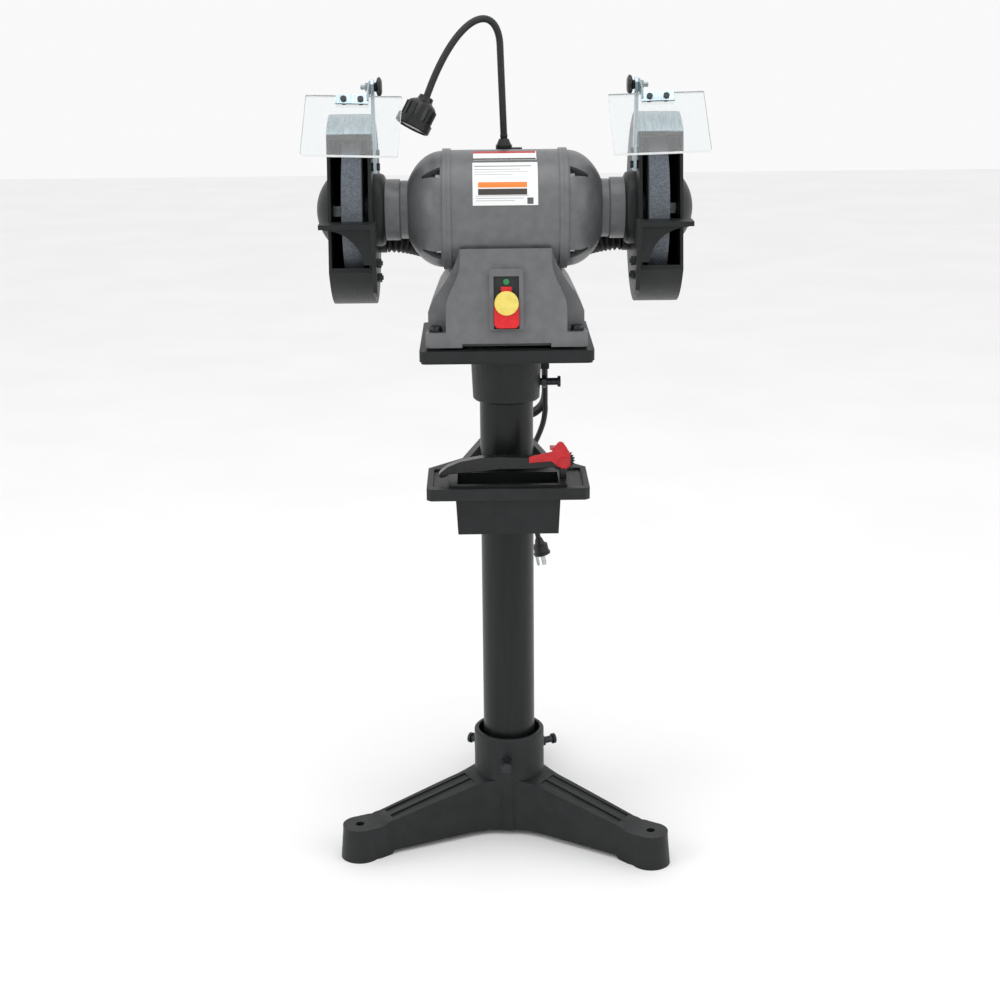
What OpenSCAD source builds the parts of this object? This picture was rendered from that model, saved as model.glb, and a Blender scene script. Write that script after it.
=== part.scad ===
// Bench grinder on a cast pedestal stand, with eye shields, tool rests,
// dust outlets, a gooseneck lamp, a tool tray and a water pot.
// The origin is on the floor, on the column axis. +Z is up, -Y is the front.

/* [Stand] */
// Height of the wheel axle above the floor
axle_height = 893; // [740:1:1080]
// Outside diameter of the column tube
column_d = 73; // [60:0.5:76]
// Wall of the column tube
column_wall = 3; // [2:0.5:6]
// Outside diameter of the collar
collar_d = 100; // [96:1:120]
// Inside diameter of the collar
collar_bore = 88; // [78:1:90]
// Height of the collar's rim above the floor
collar_top = 149; // [135:1:180]
// Height of the ledge that the column stands on
ledge_height = 60; // [50:1:72]
// Radius from the column axis to each foot bolt
foot_radius = 235; // [195:1:285]
// Diameter of the foot bolt holes
foot_hole_d = 12; // [9:0.5:14]
// Height of the foot pads
foot_height = 48; // [40:1:58]
// Width of a foot pad
foot_width = 48; // [42:1:58]
// Width of a leg beside the collar
leg_width = 50; // [42:1:60]
// Wall of the stand casting
leg_wall = 7; // [5:0.5:9]
// Rise of the legs' lower edge towards the middle
leg_arch = 2; // [0:1:12]
// Turn of the tripod about the column
base_turn = -4.4; // [-15:0.1:15]
// Diameter of the lock bolts
lock_bolt_d = 10; // [8:1:12]

/* [Platform] */
// Width of the platform plate
platform_w = 228; // [224:1:280]
// Depth of the platform plate
platform_depth = 210; // [200:1:250]
// Thickness of the platform plate
platform_t = 17; // [12:1:22]
// Diameter of the neck where it meets the plate
neck_d = 97; // [88:1:118]
// Length of the neck below the plate
neck_len = 69; // [55:1:85]

/* [Tray] */
// Distance from the platform's top down to the tray's top
tray_drop = 182; // [150:1:220]
// Width of the tray
tray_w = 216; // [190:1:260]
// Distance from the column axis to the tray's front edge
tray_front = 118; // [112:1:142]
// Thickness of the tray
tray_t = 16; // [12:1:20]
// Width of the rail in front of the pot
rail_t = 12; // [8:1:16]
// Width of the water pot at its top
pot_w = 141; // [118:1:160]
// Front to back size of the water pot
pot_depth = 62; // [50:1:64]
// Depth of the water pot below the tray's top
pot_deep = 66; // [54:1:80]
// Wall of the water pot
pot_wall = 3; // [2:0.5:4]

/* [Motor] */
// Diameter of the motor housing
motor_d = 154; // [146:1:160]
// Half length of the motor housing
motor_half = 76; // [64:1:78]
// Length of the rounded part of an end bell
bell_len = 53; // [46:1:54]
// Diameter of the arm that carries a guard
arm_d = 80; // [70:1:84]
// Height of the axle above the platform
base_height = 171; // [150:1:205]
// Width of the base casting at the front
base_w = 212; // [208:1:222]
// Width of the base casting at the back
base_back_w = 170; // [150:1:212]
// Depth of the base casting at the bottom
base_depth = 190; // [184:1:200]

/* [Wheels] */
// Distance from the middle to each wheel's centre plane
wheel_plane = 196; // [190:1:236]
// Diameter of the grinding wheels
wheel_d = 203; // [170:1:206]
// Width of the grinding wheels
wheel_w = 25.4; // [19:0.1:31]
// Diameter of the arbor through the wheels
arbor_d = 15.88; // [12.7:0.01:19.05]
// Diameter of the shaft in its bearings
bearing_bore = 20; // [20:1:25]
// Radial clearance of running fits
running_gap = 0.05; // [0.02:0.01:0.1]

/* [Guards] */
// Radial space between a wheel and the outside of its guard
guard_space = 21.5; // [18:0.5:26]
// Wall of the guards
guard_wall = 4; // [3:0.5:5]
// Diameter of the dust outlets
dust_d = 50; // [42:1:52]
// Outside diameter of the dust port
port_d = 63.5; // [55:0.5:70]
// Length of the dust port
port_len = 28; // [20:1:40]
// Gap between a wheel and its tool rest
rest_gap = 2; // [1:0.1:3]
// Travel of the tool rests away from the wheels
rest_travel = 12; // [8:1:14]
// Width of an eye shield
shield_w = 120; // [100:1:144]
// Height of an eye shield
shield_h = 86; // [72:1:103]
// Lean of the eye shields from upright
shield_lean = 38; // [30:1:50]
// Turn of the eye shields towards the middle
shield_toe = 3; // [0:1:10]
// Roll of the eye shields, outer end up
shield_roll = 1.5; // [-3:0.5:3]

/* [Lamp] */
// Diameter of the flexible neck
neck_tube_d = 9.5; // [8:0.1:12]
// Diameter of the lamp head's bezel
lamp_d = 47; // [40:1:54]
// Height of the lamp's lower neck
lamp_stem = 112; // [95:1:130]

/* [Hidden] */
$fn = 64;
eps = 0.01;
far = 600;

// Colours
black_paint = "#26282a";
grey_paint = "#77787a";
zinc = "#b9c2c4";
rubber_black = "#1b1c1d";

// Stand heights
column_r = column_d / 2;
slip = 0.2;
platform_top = axle_height - base_height;
platform_under = platform_top - platform_t;
neck_bottom = platform_under - neck_len;
tray_top = platform_top - tray_drop;
leg_clear = 6;
foot_flare = 3.5;
leg_top_in = 85;
leg_fillet = 120;
off_tangent = 0.4;
leg_end = foot_radius - 30;
lock_r = lock_bolt_d / 2;
collar_lock_z = collar_top - 34;
neck_lock_z = platform_under - 47;
saddle_rise = 28;
tray_lock_z = tray_top + saddle_rise / 2;
nut_t = 6;

// Grinder base, measured from the axle
foot_gap = 3;
base_bottom = -base_height + foot_gap;
flange_top = base_bottom + 19;
saddle_top = -43;
saddle_depth = 140;
saddle_half = 60;
base_lean = atan((base_depth - saddle_depth) / 2 / (saddle_top - base_bottom));
bolt_y = base_depth / 2 - 17;
bolt_spots = [for (s = [-1, 1]) each [[s * (base_w / 2 - 14), -bolt_y], [s * (base_back_w / 2 - 14), bolt_y]]];
mount_r = 4;
bolt_len = flange_top + base_height + platform_t - 4;
cover_w = 124;
cover_depth = 148;
ring_gap = 0.4;
switch_z = (saddle_top + base_bottom) / 2 - 1;
switch_y = -(saddle_depth / 2 + (saddle_top - switch_z) * tan(base_lean));

// Switch, measured on the panel
button_y = 22;
button_r = 4;
hinge_y = 13;
hinge_z = 6;
hinge_r = 1.2;
tab_half = 7;
paddle_face = 15;

// Motor
motor_r = motor_d / 2;
motor_wall = 5;
ring_w = 5.5;
ring_r = motor_r + 2;
bell_start = motor_half + ring_w;
bell_r = motor_r - 1;
arm_r = arm_d / 2;
arm_neck_r = arm_r - 2;
bell_end = bell_start + bell_len * sqrt(1 - pow(arm_neck_r / bell_r, 2));
bearing_r = 23.5;
bearing_w = 14;
bearing_x = bell_end - 14;
screw_ring = motor_r - 11;

// Guards and wheels, each side of the middle
wheel_r = wheel_d / 2;
arbor_r = arbor_d / 2;
guard_r = wheel_r + guard_space;
guard_in = wheel_plane - 25;
guard_out = wheel_plane + 27;
arm_end = guard_in - 11;
boss_r = arm_r + 7.5;
opening_low = -33;
opening_high = 56;
opening_mid = (opening_low + opening_high) / 2;
opening_depth = guard_r * cos((opening_high - opening_low) / 2);
cover_angles = [-80, -150, 120];
flange_t = 6;
dust_x = guard_in - 10;
dust_y = max(wheel_r - 31.5, bell_r - 6);
dust_z = -42;
dome_r = 62;
dome_base_r = 47;
dome_x = guard_out + guard_wall - sqrt(pow(dome_r, 2) - pow(dome_base_r, 2));

// Shields
knob_y = -70;
knob_z = 162.5;
knob_pin_r = 3;
arm_strip_x = guard_in - 6.6;
arm_strip_t = 4;
arm_bolts = [62, 78];
shield_t = 5;
clamp_screws = [-9, 12];
shield_x = wheel_plane - 9;
shield_top_y = -110;
shield_top_z = 152;

// Spark arresters
arrester_gap = 0.4;
arrester_t = 2;
arrester_high = 82;
arrester_bolt_r = guard_r - 13;
arrester_bolt_a = 68;
arrester_travel = 8;

// Tool rests
rest_front = -(wheel_r + rest_gap + 31);
rest_back = -(wheel_r + rest_gap);
rest_top = -2;
rest_t = 6;
rest_x = guard_in - 6;
rest_side_t = 5.6;
rest_out = guard_out + 13;
rest_bolts = [[-wheel_r + 5.5, -56], [-wheel_r + 13.5, -76]];

// Lamp
lamp_y = 35;
lamp_pivot_z = 92;
neck_tube_r = neck_tube_d / 2;
ball_r = neck_tube_r + 0.35;
ball_bore_r = 1.2;
cup_r = ball_r + 0.35;
lamp_lean = 2;
crown_point = [-lamp_stem * sin(lamp_lean), lamp_y - 2, lamp_pivot_z + lamp_stem * cos(lamp_lean)];
lamp_vec = crown_point - [0, lamp_y, lamp_pivot_z];
lamp_len = norm(lamp_vec);
head_point = [-101, -8, 144];
head_turn = atan2(head_point[1] - crown_point[1], head_point[0] - crown_point[0]);
head_tilt = 150;
arch_reach = norm([head_point[0] - crown_point[0], head_point[1] - crown_point[1]]);
arch_drop = head_point[2] - crown_point[2];

// Dust hoses, measured from the axle
manifold_y = 126;
manifold_z = -74;
manifold_half = 44;
hose_lead = 3;

// Dresser, lying on the rim of the pot
rim_t = 3;
rim_top = tray_top + rim_t;
pot_front = -tray_front + rail_t;
dresser_y = pot_front + pot_depth / 2;
dresser_t = 16;
cutter_r = 16;
cutter_x = pot_w / 2 + 4;
cutter_pin_r = 3;
cutter_z = rim_top + 23.2;

// Power cord: the route's points, in order from the gland
cord_r = 4;
gland_x = 54;
gland_y = 89;
gland_z = 767;
gland_tip = 117;
cord_drop = [
    [54, 117, 767], [54, 124, 766], [54, 130, 764], [55, 136, 760], [56, 141, 755], [56, 145, 749],
    [57, 148, 741], [57, 149, 733], [57, 149, 722], [57, 149, 710]
];
cord_tail = [
    [57, 117, 600], [57, 117, 588], [54, 118, 570], [47, 121, 550], [38, 125, 530], [31, 130, 508],
    [27, 135, 486], [27, 140, 464], [30, 145, 446], [35, 148, 430], [40, 150, 416], [44, 150, 404],
    [46, 150, 395], [48, 150, 386]
];
hank_x = 29;
hank_y = 133;
hank_w = 64;
hank_low = 575;
hank_high = 735;
hank_t = 40;
plug_dir = [0.22, 0, -0.98];

// ---------- Helpers ----------

// Lifts its children to the axle
module at_axle() {
    translate([0, 0, axle_height]) children();
}

// Turns its children's Z axis to +X and moves them to x
module along_x(x) {
    translate([x, 0, 0]) rotate([0, 90, 0]) children();
}

// Draws its children on the right as made, or mirrored on the left
module on_side(right) {
    if (right) children();
    else mirror([1, 0, 0]) children();
}

// Places its children on the sloping front of the base, Z outwards
module on_panel() {
    at_axle() translate([0, switch_y, switch_z]) rotate([90 - base_lean, 0, 0]) children();
}

// Rounded rectangle about the origin
module rounded_rect(w, d, r) {
    square([w - 2 * r, d], center = true);
    square([w, d - 2 * r], center = true);
    for (sx = [-1, 1], sy = [-1, 1]) translate([sx * (w / 2 - r), sy * (d / 2 - r)]) circle(r = r);
}

// Tube along Z from z = 0
module tube(r_out, r_in, h) {
    difference() {
        cylinder(r = r_out, h = h);
        translate([0, 0, -1]) cylinder(r = r_in, h = h + 2);
    }
}

// Hexagon nut along Z with a round hole
module hex_nut(across_flats, r_in, h) {
    difference() {
        cylinder(r = across_flats / sqrt(3), h = h, $fn = 6);
        translate([0, 0, -1]) cylinder(r = r_in, h = h + 2);
    }
}

// Set bolt from the column's surface outwards, with a jam nut
module lock_bolt(tip, seat) {
    rotate([0, 90, 0]) {
        translate([0, 0, column_r]) cylinder(r = lock_r, h = tip - column_r);
        translate([0, 0, seat]) cylinder(r = lock_r * 1.75, h = nut_t, $fn = 6);
        translate([0, 0, tip - 2]) cylinder(r = lock_r * 1.5, h = 4);
    }
}

// Three copies about Z, a third of a turn apart
module three_legs() {
    for (a = [-30, 90, 210]) rotate([0, 0, a + base_turn]) children();
}

function unit(v) = v / norm(v);
function tangent(p, i) = unit(p[min(i + 1, len(p) - 1)] - p[max(i - 1, 0)]);

// Points of one ring about c, square to direction t
function ring(c, t, ref, r, n) =
    let (u = unit(cross(t, ref)), v = cross(u, t))
    [for (k = [0:n - 1]) c + r * (cos(360 * k / n) * u + sin(360 * k / n) * v)];

// Solid swept along a path, with one radius for each point
module sweep(path, radii, ref, n) {
    last = len(path) - 1;
    points = [for (i = [0:last]) each ring(path[i], tangent(path, i), ref, radii[i], n)];
    walls = [for (i = [0:last - 1], k = [0:n - 1])
        [i * n + k, i * n + (k + 1) % n, (i + 1) * n + (k + 1) % n, (i + 1) * n + k]];
    caps = [[for (k = [0:n - 1]) n - 1 - k], [for (k = [0:n - 1]) last * n + k]];
    polyhedron(points = points, faces = concat(walls, caps));
}

// Hollow tube swept along a path, with one outer radius for each point
module hollow_sweep(path, radii, r_in, ref, n) {
    last = len(path) - 1;
    m = (last + 1) * n;
    outer = [for (i = [0:last]) each ring(path[i], tangent(path, i), ref, radii[i], n)];
    inner = [for (i = [0:last]) each ring(path[i], tangent(path, i), ref, r_in, n)];
    outer_walls = [for (i = [0:last - 1], k = [0:n - 1])
        [i * n + k, i * n + (k + 1) % n, (i + 1) * n + (k + 1) % n, (i + 1) * n + k]];
    inner_walls = [for (f = outer_walls) [f[3] + m, f[2] + m, f[1] + m, f[0] + m]];
    near_end = [for (k = [0:n - 1]) [k, k + m, (k + 1) % n + m, (k + 1) % n]];
    far_end = [for (k = [0:n - 1])
        [last * n + k, last * n + (k + 1) % n, last * n + (k + 1) % n + m, last * n + k + m]];
    polyhedron(points = concat(outer, inner), faces = concat(outer_walls, inner_walls, near_end, far_end));
}

// Point at t on the cubic curve through four control points
function bezier(p, t) =
    pow(1 - t, 3) * p[0] + 3 * pow(1 - t, 2) * t * p[1] + 3 * (1 - t) * pow(t, 2) * p[2] + pow(t, 3) * p[3];

// ---------- Stand ----------

// Plan of the tripod, drawn in by an inset
module leg_plan(inset) {
    half = leg_width / 2 - inset;
    toe = foot_width / 2 - inset;
    fillet = leg_fillet + inset + off_tangent;
    corner = (leg_width / 2 + leg_fillet) / sin(60);
    reach = (leg_width / 2 + leg_fillet) / tan(60);
    side = toe - off_tangent;
    three_legs() {
        polygon([[0, -half], [reach, -half], [leg_end - 8, 5 - half], [leg_end + 8, -side],
            [foot_radius, -side], [foot_radius, side], [leg_end + 8, side], [leg_end - 8, half - 5],
            [reach, half], [0, half]]);
        translate([foot_radius, 0]) circle(r = toe);
    }
    difference() {
        three_legs() rotate([0, 0, 60])
            polygon([[0, 0], [reach * cos(60) + half * sin(60), -reach * sin(60) + half * cos(60)],
                [corner, 0], [reach * cos(60) + half * sin(60), reach * sin(60) - half * cos(60)]]);
        three_legs() rotate([0, 0, 60]) translate([corner, 0]) circle(r = fillet, $fn = 96);
    }
}

// Solid of revolution under the tripod's upper surface, lowered by drop, over an arch of the given rise
module leg_heights(drop, low, rise) {
    spring = leg_end - 12;
    rotate_extrude() polygon(concat(
        [for (i = [0:6]) [spring * i / 6, low + rise * (1 - pow(i / 6, 2))]],
        [[leg_end - 8, min(low, 0)], [foot_radius + far, min(low, 0)],
            [foot_radius + far, foot_height - drop], [leg_end + 4, foot_height - drop],
            [leg_end, foot_height + 2 - drop], [collar_d / 2 + 2, leg_top_in - drop],
            [0, leg_top_in + 8 - drop]]));
}

// Cast tripod base with its collar
module stand_base() {
    color(black_paint)
    difference() {
        union() {
            intersection() {
                linear_extrude(height = far) leg_plan(0);
                leg_heights(0, leg_clear, leg_arch);
            }
            three_legs() translate([foot_radius, 0, 0])
                cylinder(r1 = foot_width / 2 + foot_flare, r2 = foot_width / 2 - 0.3, h = foot_height - 3);
            rotate_extrude() polygon([[0, leg_clear + leg_arch], [collar_d / 2, leg_clear + leg_arch],
                [collar_d / 2, collar_top - 2], [collar_d / 2 - 2, collar_top], [0, collar_top]]);
        }
        translate([0, 0, ledge_height]) cylinder(r = collar_bore / 2, h = far);
        cylinder(r = column_r - column_wall - 6, h = far);
        // hollow underside of the legs
        difference() {
            intersection() {
                translate([0, 0, -eps]) linear_extrude(height = far) leg_plan(leg_wall);
                leg_heights(leg_wall + 3, -1, 0);
            }
            cylinder(r = collar_d / 2 + 1, h = far);
            three_legs() translate([foot_radius, 0, -2]) cylinder(r = foot_hole_d / 2 + 9, h = far);
        }
        // sunk panels with a middle rib on the tops of the legs
        difference() {
            linear_extrude(height = far) three_legs() for (s = [-1, 1])
                translate([0, s * 9.5]) polygon([[collar_d / 2 + 14, -7.5], [leg_end - 14, -5.5],
                    [leg_end - 14, 5.5], [collar_d / 2 + 14, 7.5]]);
            leg_heights(2, -1, 0);
        }
        three_legs() translate([foot_radius, 0, -1]) cylinder(r = foot_hole_d / 2, h = far);
        for (a = [-90, 30, 150]) rotate([0, 0, a + base_turn]) translate([0, 0, collar_lock_z])
            rotate([0, 90, 0]) cylinder(r = lock_r + slip, h = far);
    }
}

// Round steel column
module column() {
    color(black_paint)
    translate([0, 0, ledge_height]) tube(column_r, column_r - column_wall, platform_under - ledge_height);
}

// Cast plate that the grinder stands on, with the neck that fits the column
module platform() {
    color(black_paint)
    difference() {
        union() {
            translate([0, 0, platform_under + 3]) linear_extrude(height = platform_t - 3)
                rounded_rect(platform_w, platform_depth, 8);
            translate([0, 0, platform_under]) linear_extrude(height = 3)
                rounded_rect(platform_w - 4, platform_depth - 4, 7);
            rotate_extrude() polygon([[0, neck_bottom], [neck_d / 2 - 5, neck_bottom],
                [neck_d / 2 - 3, neck_bottom + 2], [neck_d / 2, platform_under], [0, platform_under]]);
        }
        translate([0, 0, neck_bottom - 1]) cylinder(r = column_r + slip, h = neck_len + 1);
        translate([0, 0, neck_lock_z]) rotate([0, 90, 0]) cylinder(r = lock_r + slip, h = neck_d);
        for (b = bolt_spots) translate([b[0], b[1], platform_under + 2]) cylinder(r = mount_r + slip, h = platform_t);
    }
}

// Lock bolts of the collar, the neck and the tray
module stand_bolts() {
    color("#3a3c3d") {
        tips = [70, 72, 67];
        for (i = [0:2]) rotate([0, 0, -90 + 120 * i + base_turn]) translate([0, 0, collar_lock_z])
            lock_bolt(tips[i], collar_d / 2);
        translate([0, 0, neck_lock_z]) lock_bolt(72, neck_d / 2);
        rotate([0, 0, 90]) translate([0, 0, tray_lock_z]) lock_bolt(68, 46);
    }
}

// Bolts that hold the grinder on the platform
module mount_bolts() {
    color("#8c9193")
    for (b = bolt_spots) translate([b[0], b[1], axle_height + flange_top]) {
        cylinder(r = 9, h = 1.6);
        translate([0, 0, 1.6]) cylinder(r = 7.5, h = 5.3, $fn = 6);
        translate([0, 0, -bolt_len]) cylinder(r = mount_r, h = bolt_len + 2);
    }
}

// ---------- Tray and pot ----------

// Cast tray with a hole for the pot and a saddle behind the column
module tool_tray() {
    half = tray_w / 2;
    hole_half = pot_w / 2 + 1;
    hole_back = pot_front + pot_depth + 1;
    color(black_paint)
    difference() {
        union() {
            translate([0, 0, tray_top - tray_t]) linear_extrude(height = tray_t)
                polygon([[-half + 6, -tray_front], [half - 6, -tray_front], [half, -tray_front + 6],
                    [half, -10], [half - 47, 43], [-half + 47, 43], [-half, -10], [-half, -tray_front + 6]]);
            translate([0, 46, 0]) rotate([90, 0, 0]) linear_extrude(height = 41)
                polygon([[-61, tray_top - tray_t], [61, tray_top - tray_t], [61, tray_top],
                    [column_r, tray_top + saddle_rise], [-column_r, tray_top + saddle_rise], [-61, tray_top]]);
        }
        translate([0, 0, tray_top - tray_t - 1]) cylinder(r = column_r + slip, h = far);
        translate([-hole_half, pot_front - 1, tray_top - tray_t - 1])
            cube([2 * hole_half, hole_back - pot_front + 1, tray_t + 2]);
        // shallow dish on each wing
        for (s = [-1, 1]) translate([s * (hole_half + half) / 2, -tray_front / 2 - 2, tray_top - 3])
            linear_extrude(height = 4) rounded_rect(half - hole_half - 16, tray_front - 26, 4);
        translate([0, 0, tray_lock_z]) rotate([-90, 0, 0]) cylinder(r = lock_r + slip, h = 60);
    }
}

// Water pot that hangs in the tray by its rim
module water_pot() {
    front = pot_front;
    middle = front + pot_depth / 2;
    taper = 3.5;
    color(black_paint)
    difference() {
        union() {
            translate([0, front, 0]) rotate([-90, 0, 0]) linear_extrude(height = pot_depth)
                polygon([[-pot_w / 2, -tray_top], [pot_w / 2, -tray_top],
                    [pot_w / 2 - taper, -tray_top + pot_deep], [-pot_w / 2 + taper, -tray_top + pot_deep]]);
            translate([0, middle, tray_top + 0.2]) linear_extrude(height = rim_t - 0.2)
                rounded_rect(pot_w + 16, pot_depth + 8, 4);
            translate([0, middle, tray_top - 1]) linear_extrude(height = 2)
                square([pot_w, pot_depth], center = true);
        }
        translate([0, front + pot_wall, 0]) rotate([-90, 0, 0]) linear_extrude(height = pot_depth - 2 * pot_wall)
            polygon([[-pot_w / 2 + pot_wall, -rim_top - 1], [pot_w / 2 - pot_wall, -rim_top - 1],
                [pot_w / 2 - pot_wall - taper, -tray_top + pot_deep - pot_wall],
                [-pot_w / 2 + pot_wall + taper, -tray_top + pot_deep - pot_wall]]);
    }
}

// Curved cast handle of the wheel dresser, forked round its cutters and standing on its foot
module dresser_handle() {
    tip = -pot_w / 2 - 22;
    lift = cutter_z - rim_top;
    color(black_paint)
    difference() {
        union() {
            translate([0, dresser_y + dresser_t / 2, rim_top]) rotate([90, 0, 0]) linear_extrude(height = dresser_t)
                polygon([[tip, 7], [tip + 3, 11], [tip + 12, 18], [tip + 29, 25], [tip + 56, 30], [tip + 83, 31],
                    [cutter_x - 44, 29], [cutter_x - 20, lift + 8], [cutter_x, lift + 8], [cutter_x, lift - 8],
                    [cutter_x - 16, 16], [cutter_x - 40, 14], [tip + 83, 14], [tip + 56, 11], [tip + 29, 9],
                    [tip + 14, 8], [tip + 8, 4], [tip + 2, 3]]);
            translate([cutter_x, dresser_y + dresser_t / 2, cutter_z]) rotate([90, 0, 0]) cylinder(r = 8, h = dresser_t);
            translate([cutter_x - 5, dresser_y - dresser_t / 2, rim_top + 0.2]) cube([9, dresser_t, lift]);
        }
        translate([cutter_x - cutter_r - 3, dresser_y - 5, rim_top - 1]) cube([far, 10, far]);
        translate([cutter_x, dresser_y + 20, cutter_z]) rotate([90, 0, 0])
            cylinder(r = cutter_pin_r + running_gap, h = 40);
    }
}

// Red hood over the cutters, with its pin boss and its thumb rest
module dresser_hood() {
    front = dresser_y - dresser_t / 2;
    top = cutter_z + cutter_r;
    color("#c8322f") {
        translate([0, front, 0]) rotate([90, 0, 0]) linear_extrude(height = 3)
            polygon([[cutter_x - 46, cutter_z], [cutter_x - 46, cutter_z + 8], [cutter_x - 34, cutter_z + 11],
                [cutter_x - 16, top - 1], [cutter_x - 8, top + 11], [cutter_x - 5, top + 13], [cutter_x - 1, top + 12],
                [cutter_x + 4, top + 5], [cutter_x + 9, top - 5],
                [cutter_x + 9, cutter_z - 5], [cutter_x + 3, cutter_z - 9], [cutter_x - 7, cutter_z - 6],
                [cutter_x - 16, cutter_z + 2]]);
        translate([cutter_x, front, cutter_z]) rotate([90, 0, 0]) cylinder(r = 7.5, h = 5.5);
        translate([cutter_x - 18, front - 1, top + 1]) cube([20, dresser_t + 1, 2.5]);
    }
}

// Star cutters on their pin
module dresser_cutters() {
    teeth = 12;
    color("#a9adae")
    translate([cutter_x, dresser_y, cutter_z]) rotate([90, 0, 0]) {
        cylinder(r = cutter_pin_r, h = dresser_t - 1, center = true);
        for (z = [-3.4, 0, 3.4]) translate([0, 0, z]) {
            cylinder(r = cutter_r - 4, h = 2, center = true);
            for (k = [0:teeth - 1]) rotate([0, 0, 360 * k / teeth + 5 * z])
                linear_extrude(height = 2, center = true)
                    polygon([[cutter_r - 5, -2.4], [cutter_r, 0], [cutter_r - 5, 2.4]]);
        }
        cylinder(r = 5, h = 8.4, center = true);
    }
}

// ---------- Grinder base ----------

// Half width of the side walls at height z below the axle
function flare_half(z) = saddle_half + 1 + (base_w / 2 - saddle_half - 1) *
    (1 - cos(180 * min(1, max(0, (-z - 40) / (-flange_top - 44))))) / 2;

// Half width of the front panel at height z below the axle
function panel_half(z) = saddle_half + 19 * (1 - cos(180 * min(1, max(0, (-z - 60) / 60)))) / 2;

// Upright slab between two mirrored side curves, spread along Y
module curved_slab(depth, low, kind) {
    steps = 14;
    heights = [for (i = [0:steps]) saddle_top + (low - saddle_top) * i / steps];
    halves = [for (z = heights) kind == "flare" ? flare_half(z) : panel_half(z)];
    rotate([90, 0, 0]) linear_extrude(height = depth, center = true)
        polygon(concat([for (i = [0:steps]) [halves[i], heights[i]]],
            [for (i = [steps:-1:0]) [-halves[i], heights[i]]]));
}

// Plan of the base, narrower at the back
module base_plan() {
    f = base_w / 2;
    b = base_back_w / 2;
    d = base_depth / 2;
    polygon([[5 - f, -d], [f - 5, -d], [f, 5 - d], [b, d - 5], [b - 5, d], [5 - b, d], [-b, d - 5], [-f, 5 - d]]);
}

// Cast base with the motor saddle, the switch frame and four bolt pockets
module grinder_base() {
    color(grey_paint) at_axle()
    difference() {
        union() {
            intersection() {
                union() {
                    curved_slab(base_depth, flange_top, "panel");
                    curved_slab(saddle_depth - 16, flange_top, "flare");
                    translate([0, 0, base_bottom]) linear_extrude(height = flange_top - base_bottom) base_plan();
                }
                translate([0, 0, base_bottom]) linear_extrude(height = far) base_plan();
                rotate([90, 0, 90]) linear_extrude(height = base_w + 2, center = true)
                    polygon([[-saddle_depth / 2, saddle_top], [saddle_depth / 2, saddle_top],
                        [base_depth / 2, base_bottom], [-base_depth / 2, base_bottom]]);
            }
            // raised frame round the switch
            translate([0, switch_y, switch_z]) rotate([90 - base_lean, 0, 0]) translate([0, 0, -2])
                linear_extrude(height = 9) difference() {
                    translate([0, -1]) rounded_rect(44, 79, 4);
                    translate([0, -5]) square([33, 68], center = true);
                }
            // lug that carries the dust manifold
            translate([-10, saddle_depth / 2 + 4, manifold_z - 10]) cube([20, manifold_y - saddle_depth / 2 - 31, 20]);
        }
        along_x(-far / 2) cylinder(r = motor_r, h = far);
        for (right = [false, true]) on_side(right) along_x(motor_half - ring_w - ring_gap)
            cylinder(r = ring_r + ring_gap, h = 60);
        // room for the switch and the capacitor
        translate([-58, -70, base_bottom - 1]) cube([116, 140, -91 - base_bottom + 1]);
        translate([-cover_w / 2, -cover_depth / 2, base_bottom - 1]) cube([cover_w, cover_depth, 3]);
        translate([0, switch_y, switch_z]) rotate([90 - base_lean, 0, 0]) translate([-15, -31, -40])
            cube([30, 59.5, 41]);
        // relief along the bottom of the front
        translate([-58, -base_depth / 2 - 1, base_bottom - 1]) cube([116, 12, 6]);
        for (b = bolt_spots) translate([b[0], b[1], base_bottom - 1]) {
            cylinder(r = mount_r + slip, h = 60);
            translate([0, 0, flange_top - base_bottom + 1]) cylinder(r = 11, h = 22);
        }
        translate([gland_x, gland_y - 30, gland_z - axle_height]) rotate([-90, 0, 0]) cylinder(r = 7, h = 80);
    }
}

// Rubber pads between the base and the platform
module rubber_feet() {
    color(rubber_black)
    for (b = bolt_spots) translate([b[0], b[1], platform_top]) tube(13, mount_r, foot_gap);
}

// Steel plate that closes the underside of the base
module base_cover() {
    color("#8d9294") at_axle() translate([0, 0, base_bottom]) linear_extrude(height = 2)
        square([cover_w, cover_depth], center = true);
}

// Switch plate in the raised frame
module switch_plate() {
    color("#2c2e30") on_panel() {
        difference() {
            translate([-16.5, -39, 0]) cube([33, 68, 1.8]);
            translate([0, button_y, -1]) cylinder(r = button_r + 0.1, h = 4);
        }
        for (s = [-1, 1]) translate([s * (tab_half + 1.4) - 1, hinge_y - 3, 1.8]) cube([2, 6, hinge_z + 1]);
        translate([-tab_half - 1.4, hinge_y, hinge_z]) rotate([0, 90, 0]) cylinder(r = hinge_r, h = 2 * tab_half + 2.8);
    }
}

// Switch block behind the plate
module switch_body() {
    color("#303234") on_panel() difference() {
        translate([-14, -30, -34]) cube([28, 58, 34]);
        translate([0, button_y, -6]) cylinder(r = button_r + 0.7, h = 8);
    }
}

// Start button, pressed in along the panel's normal
module start_button() {
    color("#3f8f55") on_panel() translate([0, button_y, -3.2]) {
        cylinder(r = button_r, h = 6.4);
        cylinder(r = button_r + 0.5, h = 1.4);
    }
}

// Red stop paddle, hinged at its top edge
module stop_paddle() {
    color("#d32f2f") on_panel() {
        difference() {
            translate([-tab_half, -8, hinge_z - 1.8]) cube([2 * tab_half, hinge_y + 10.5, 4.4]);
            translate([-far / 2, hinge_y, hinge_z]) rotate([0, 90, 0]) cylinder(r = hinge_r + running_gap, h = far);
        }
        translate([0, -19.5, hinge_z + 2]) linear_extrude(height = paddle_face - hinge_z - 2) rounded_rect(32, 37, 6);
    }
}

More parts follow.
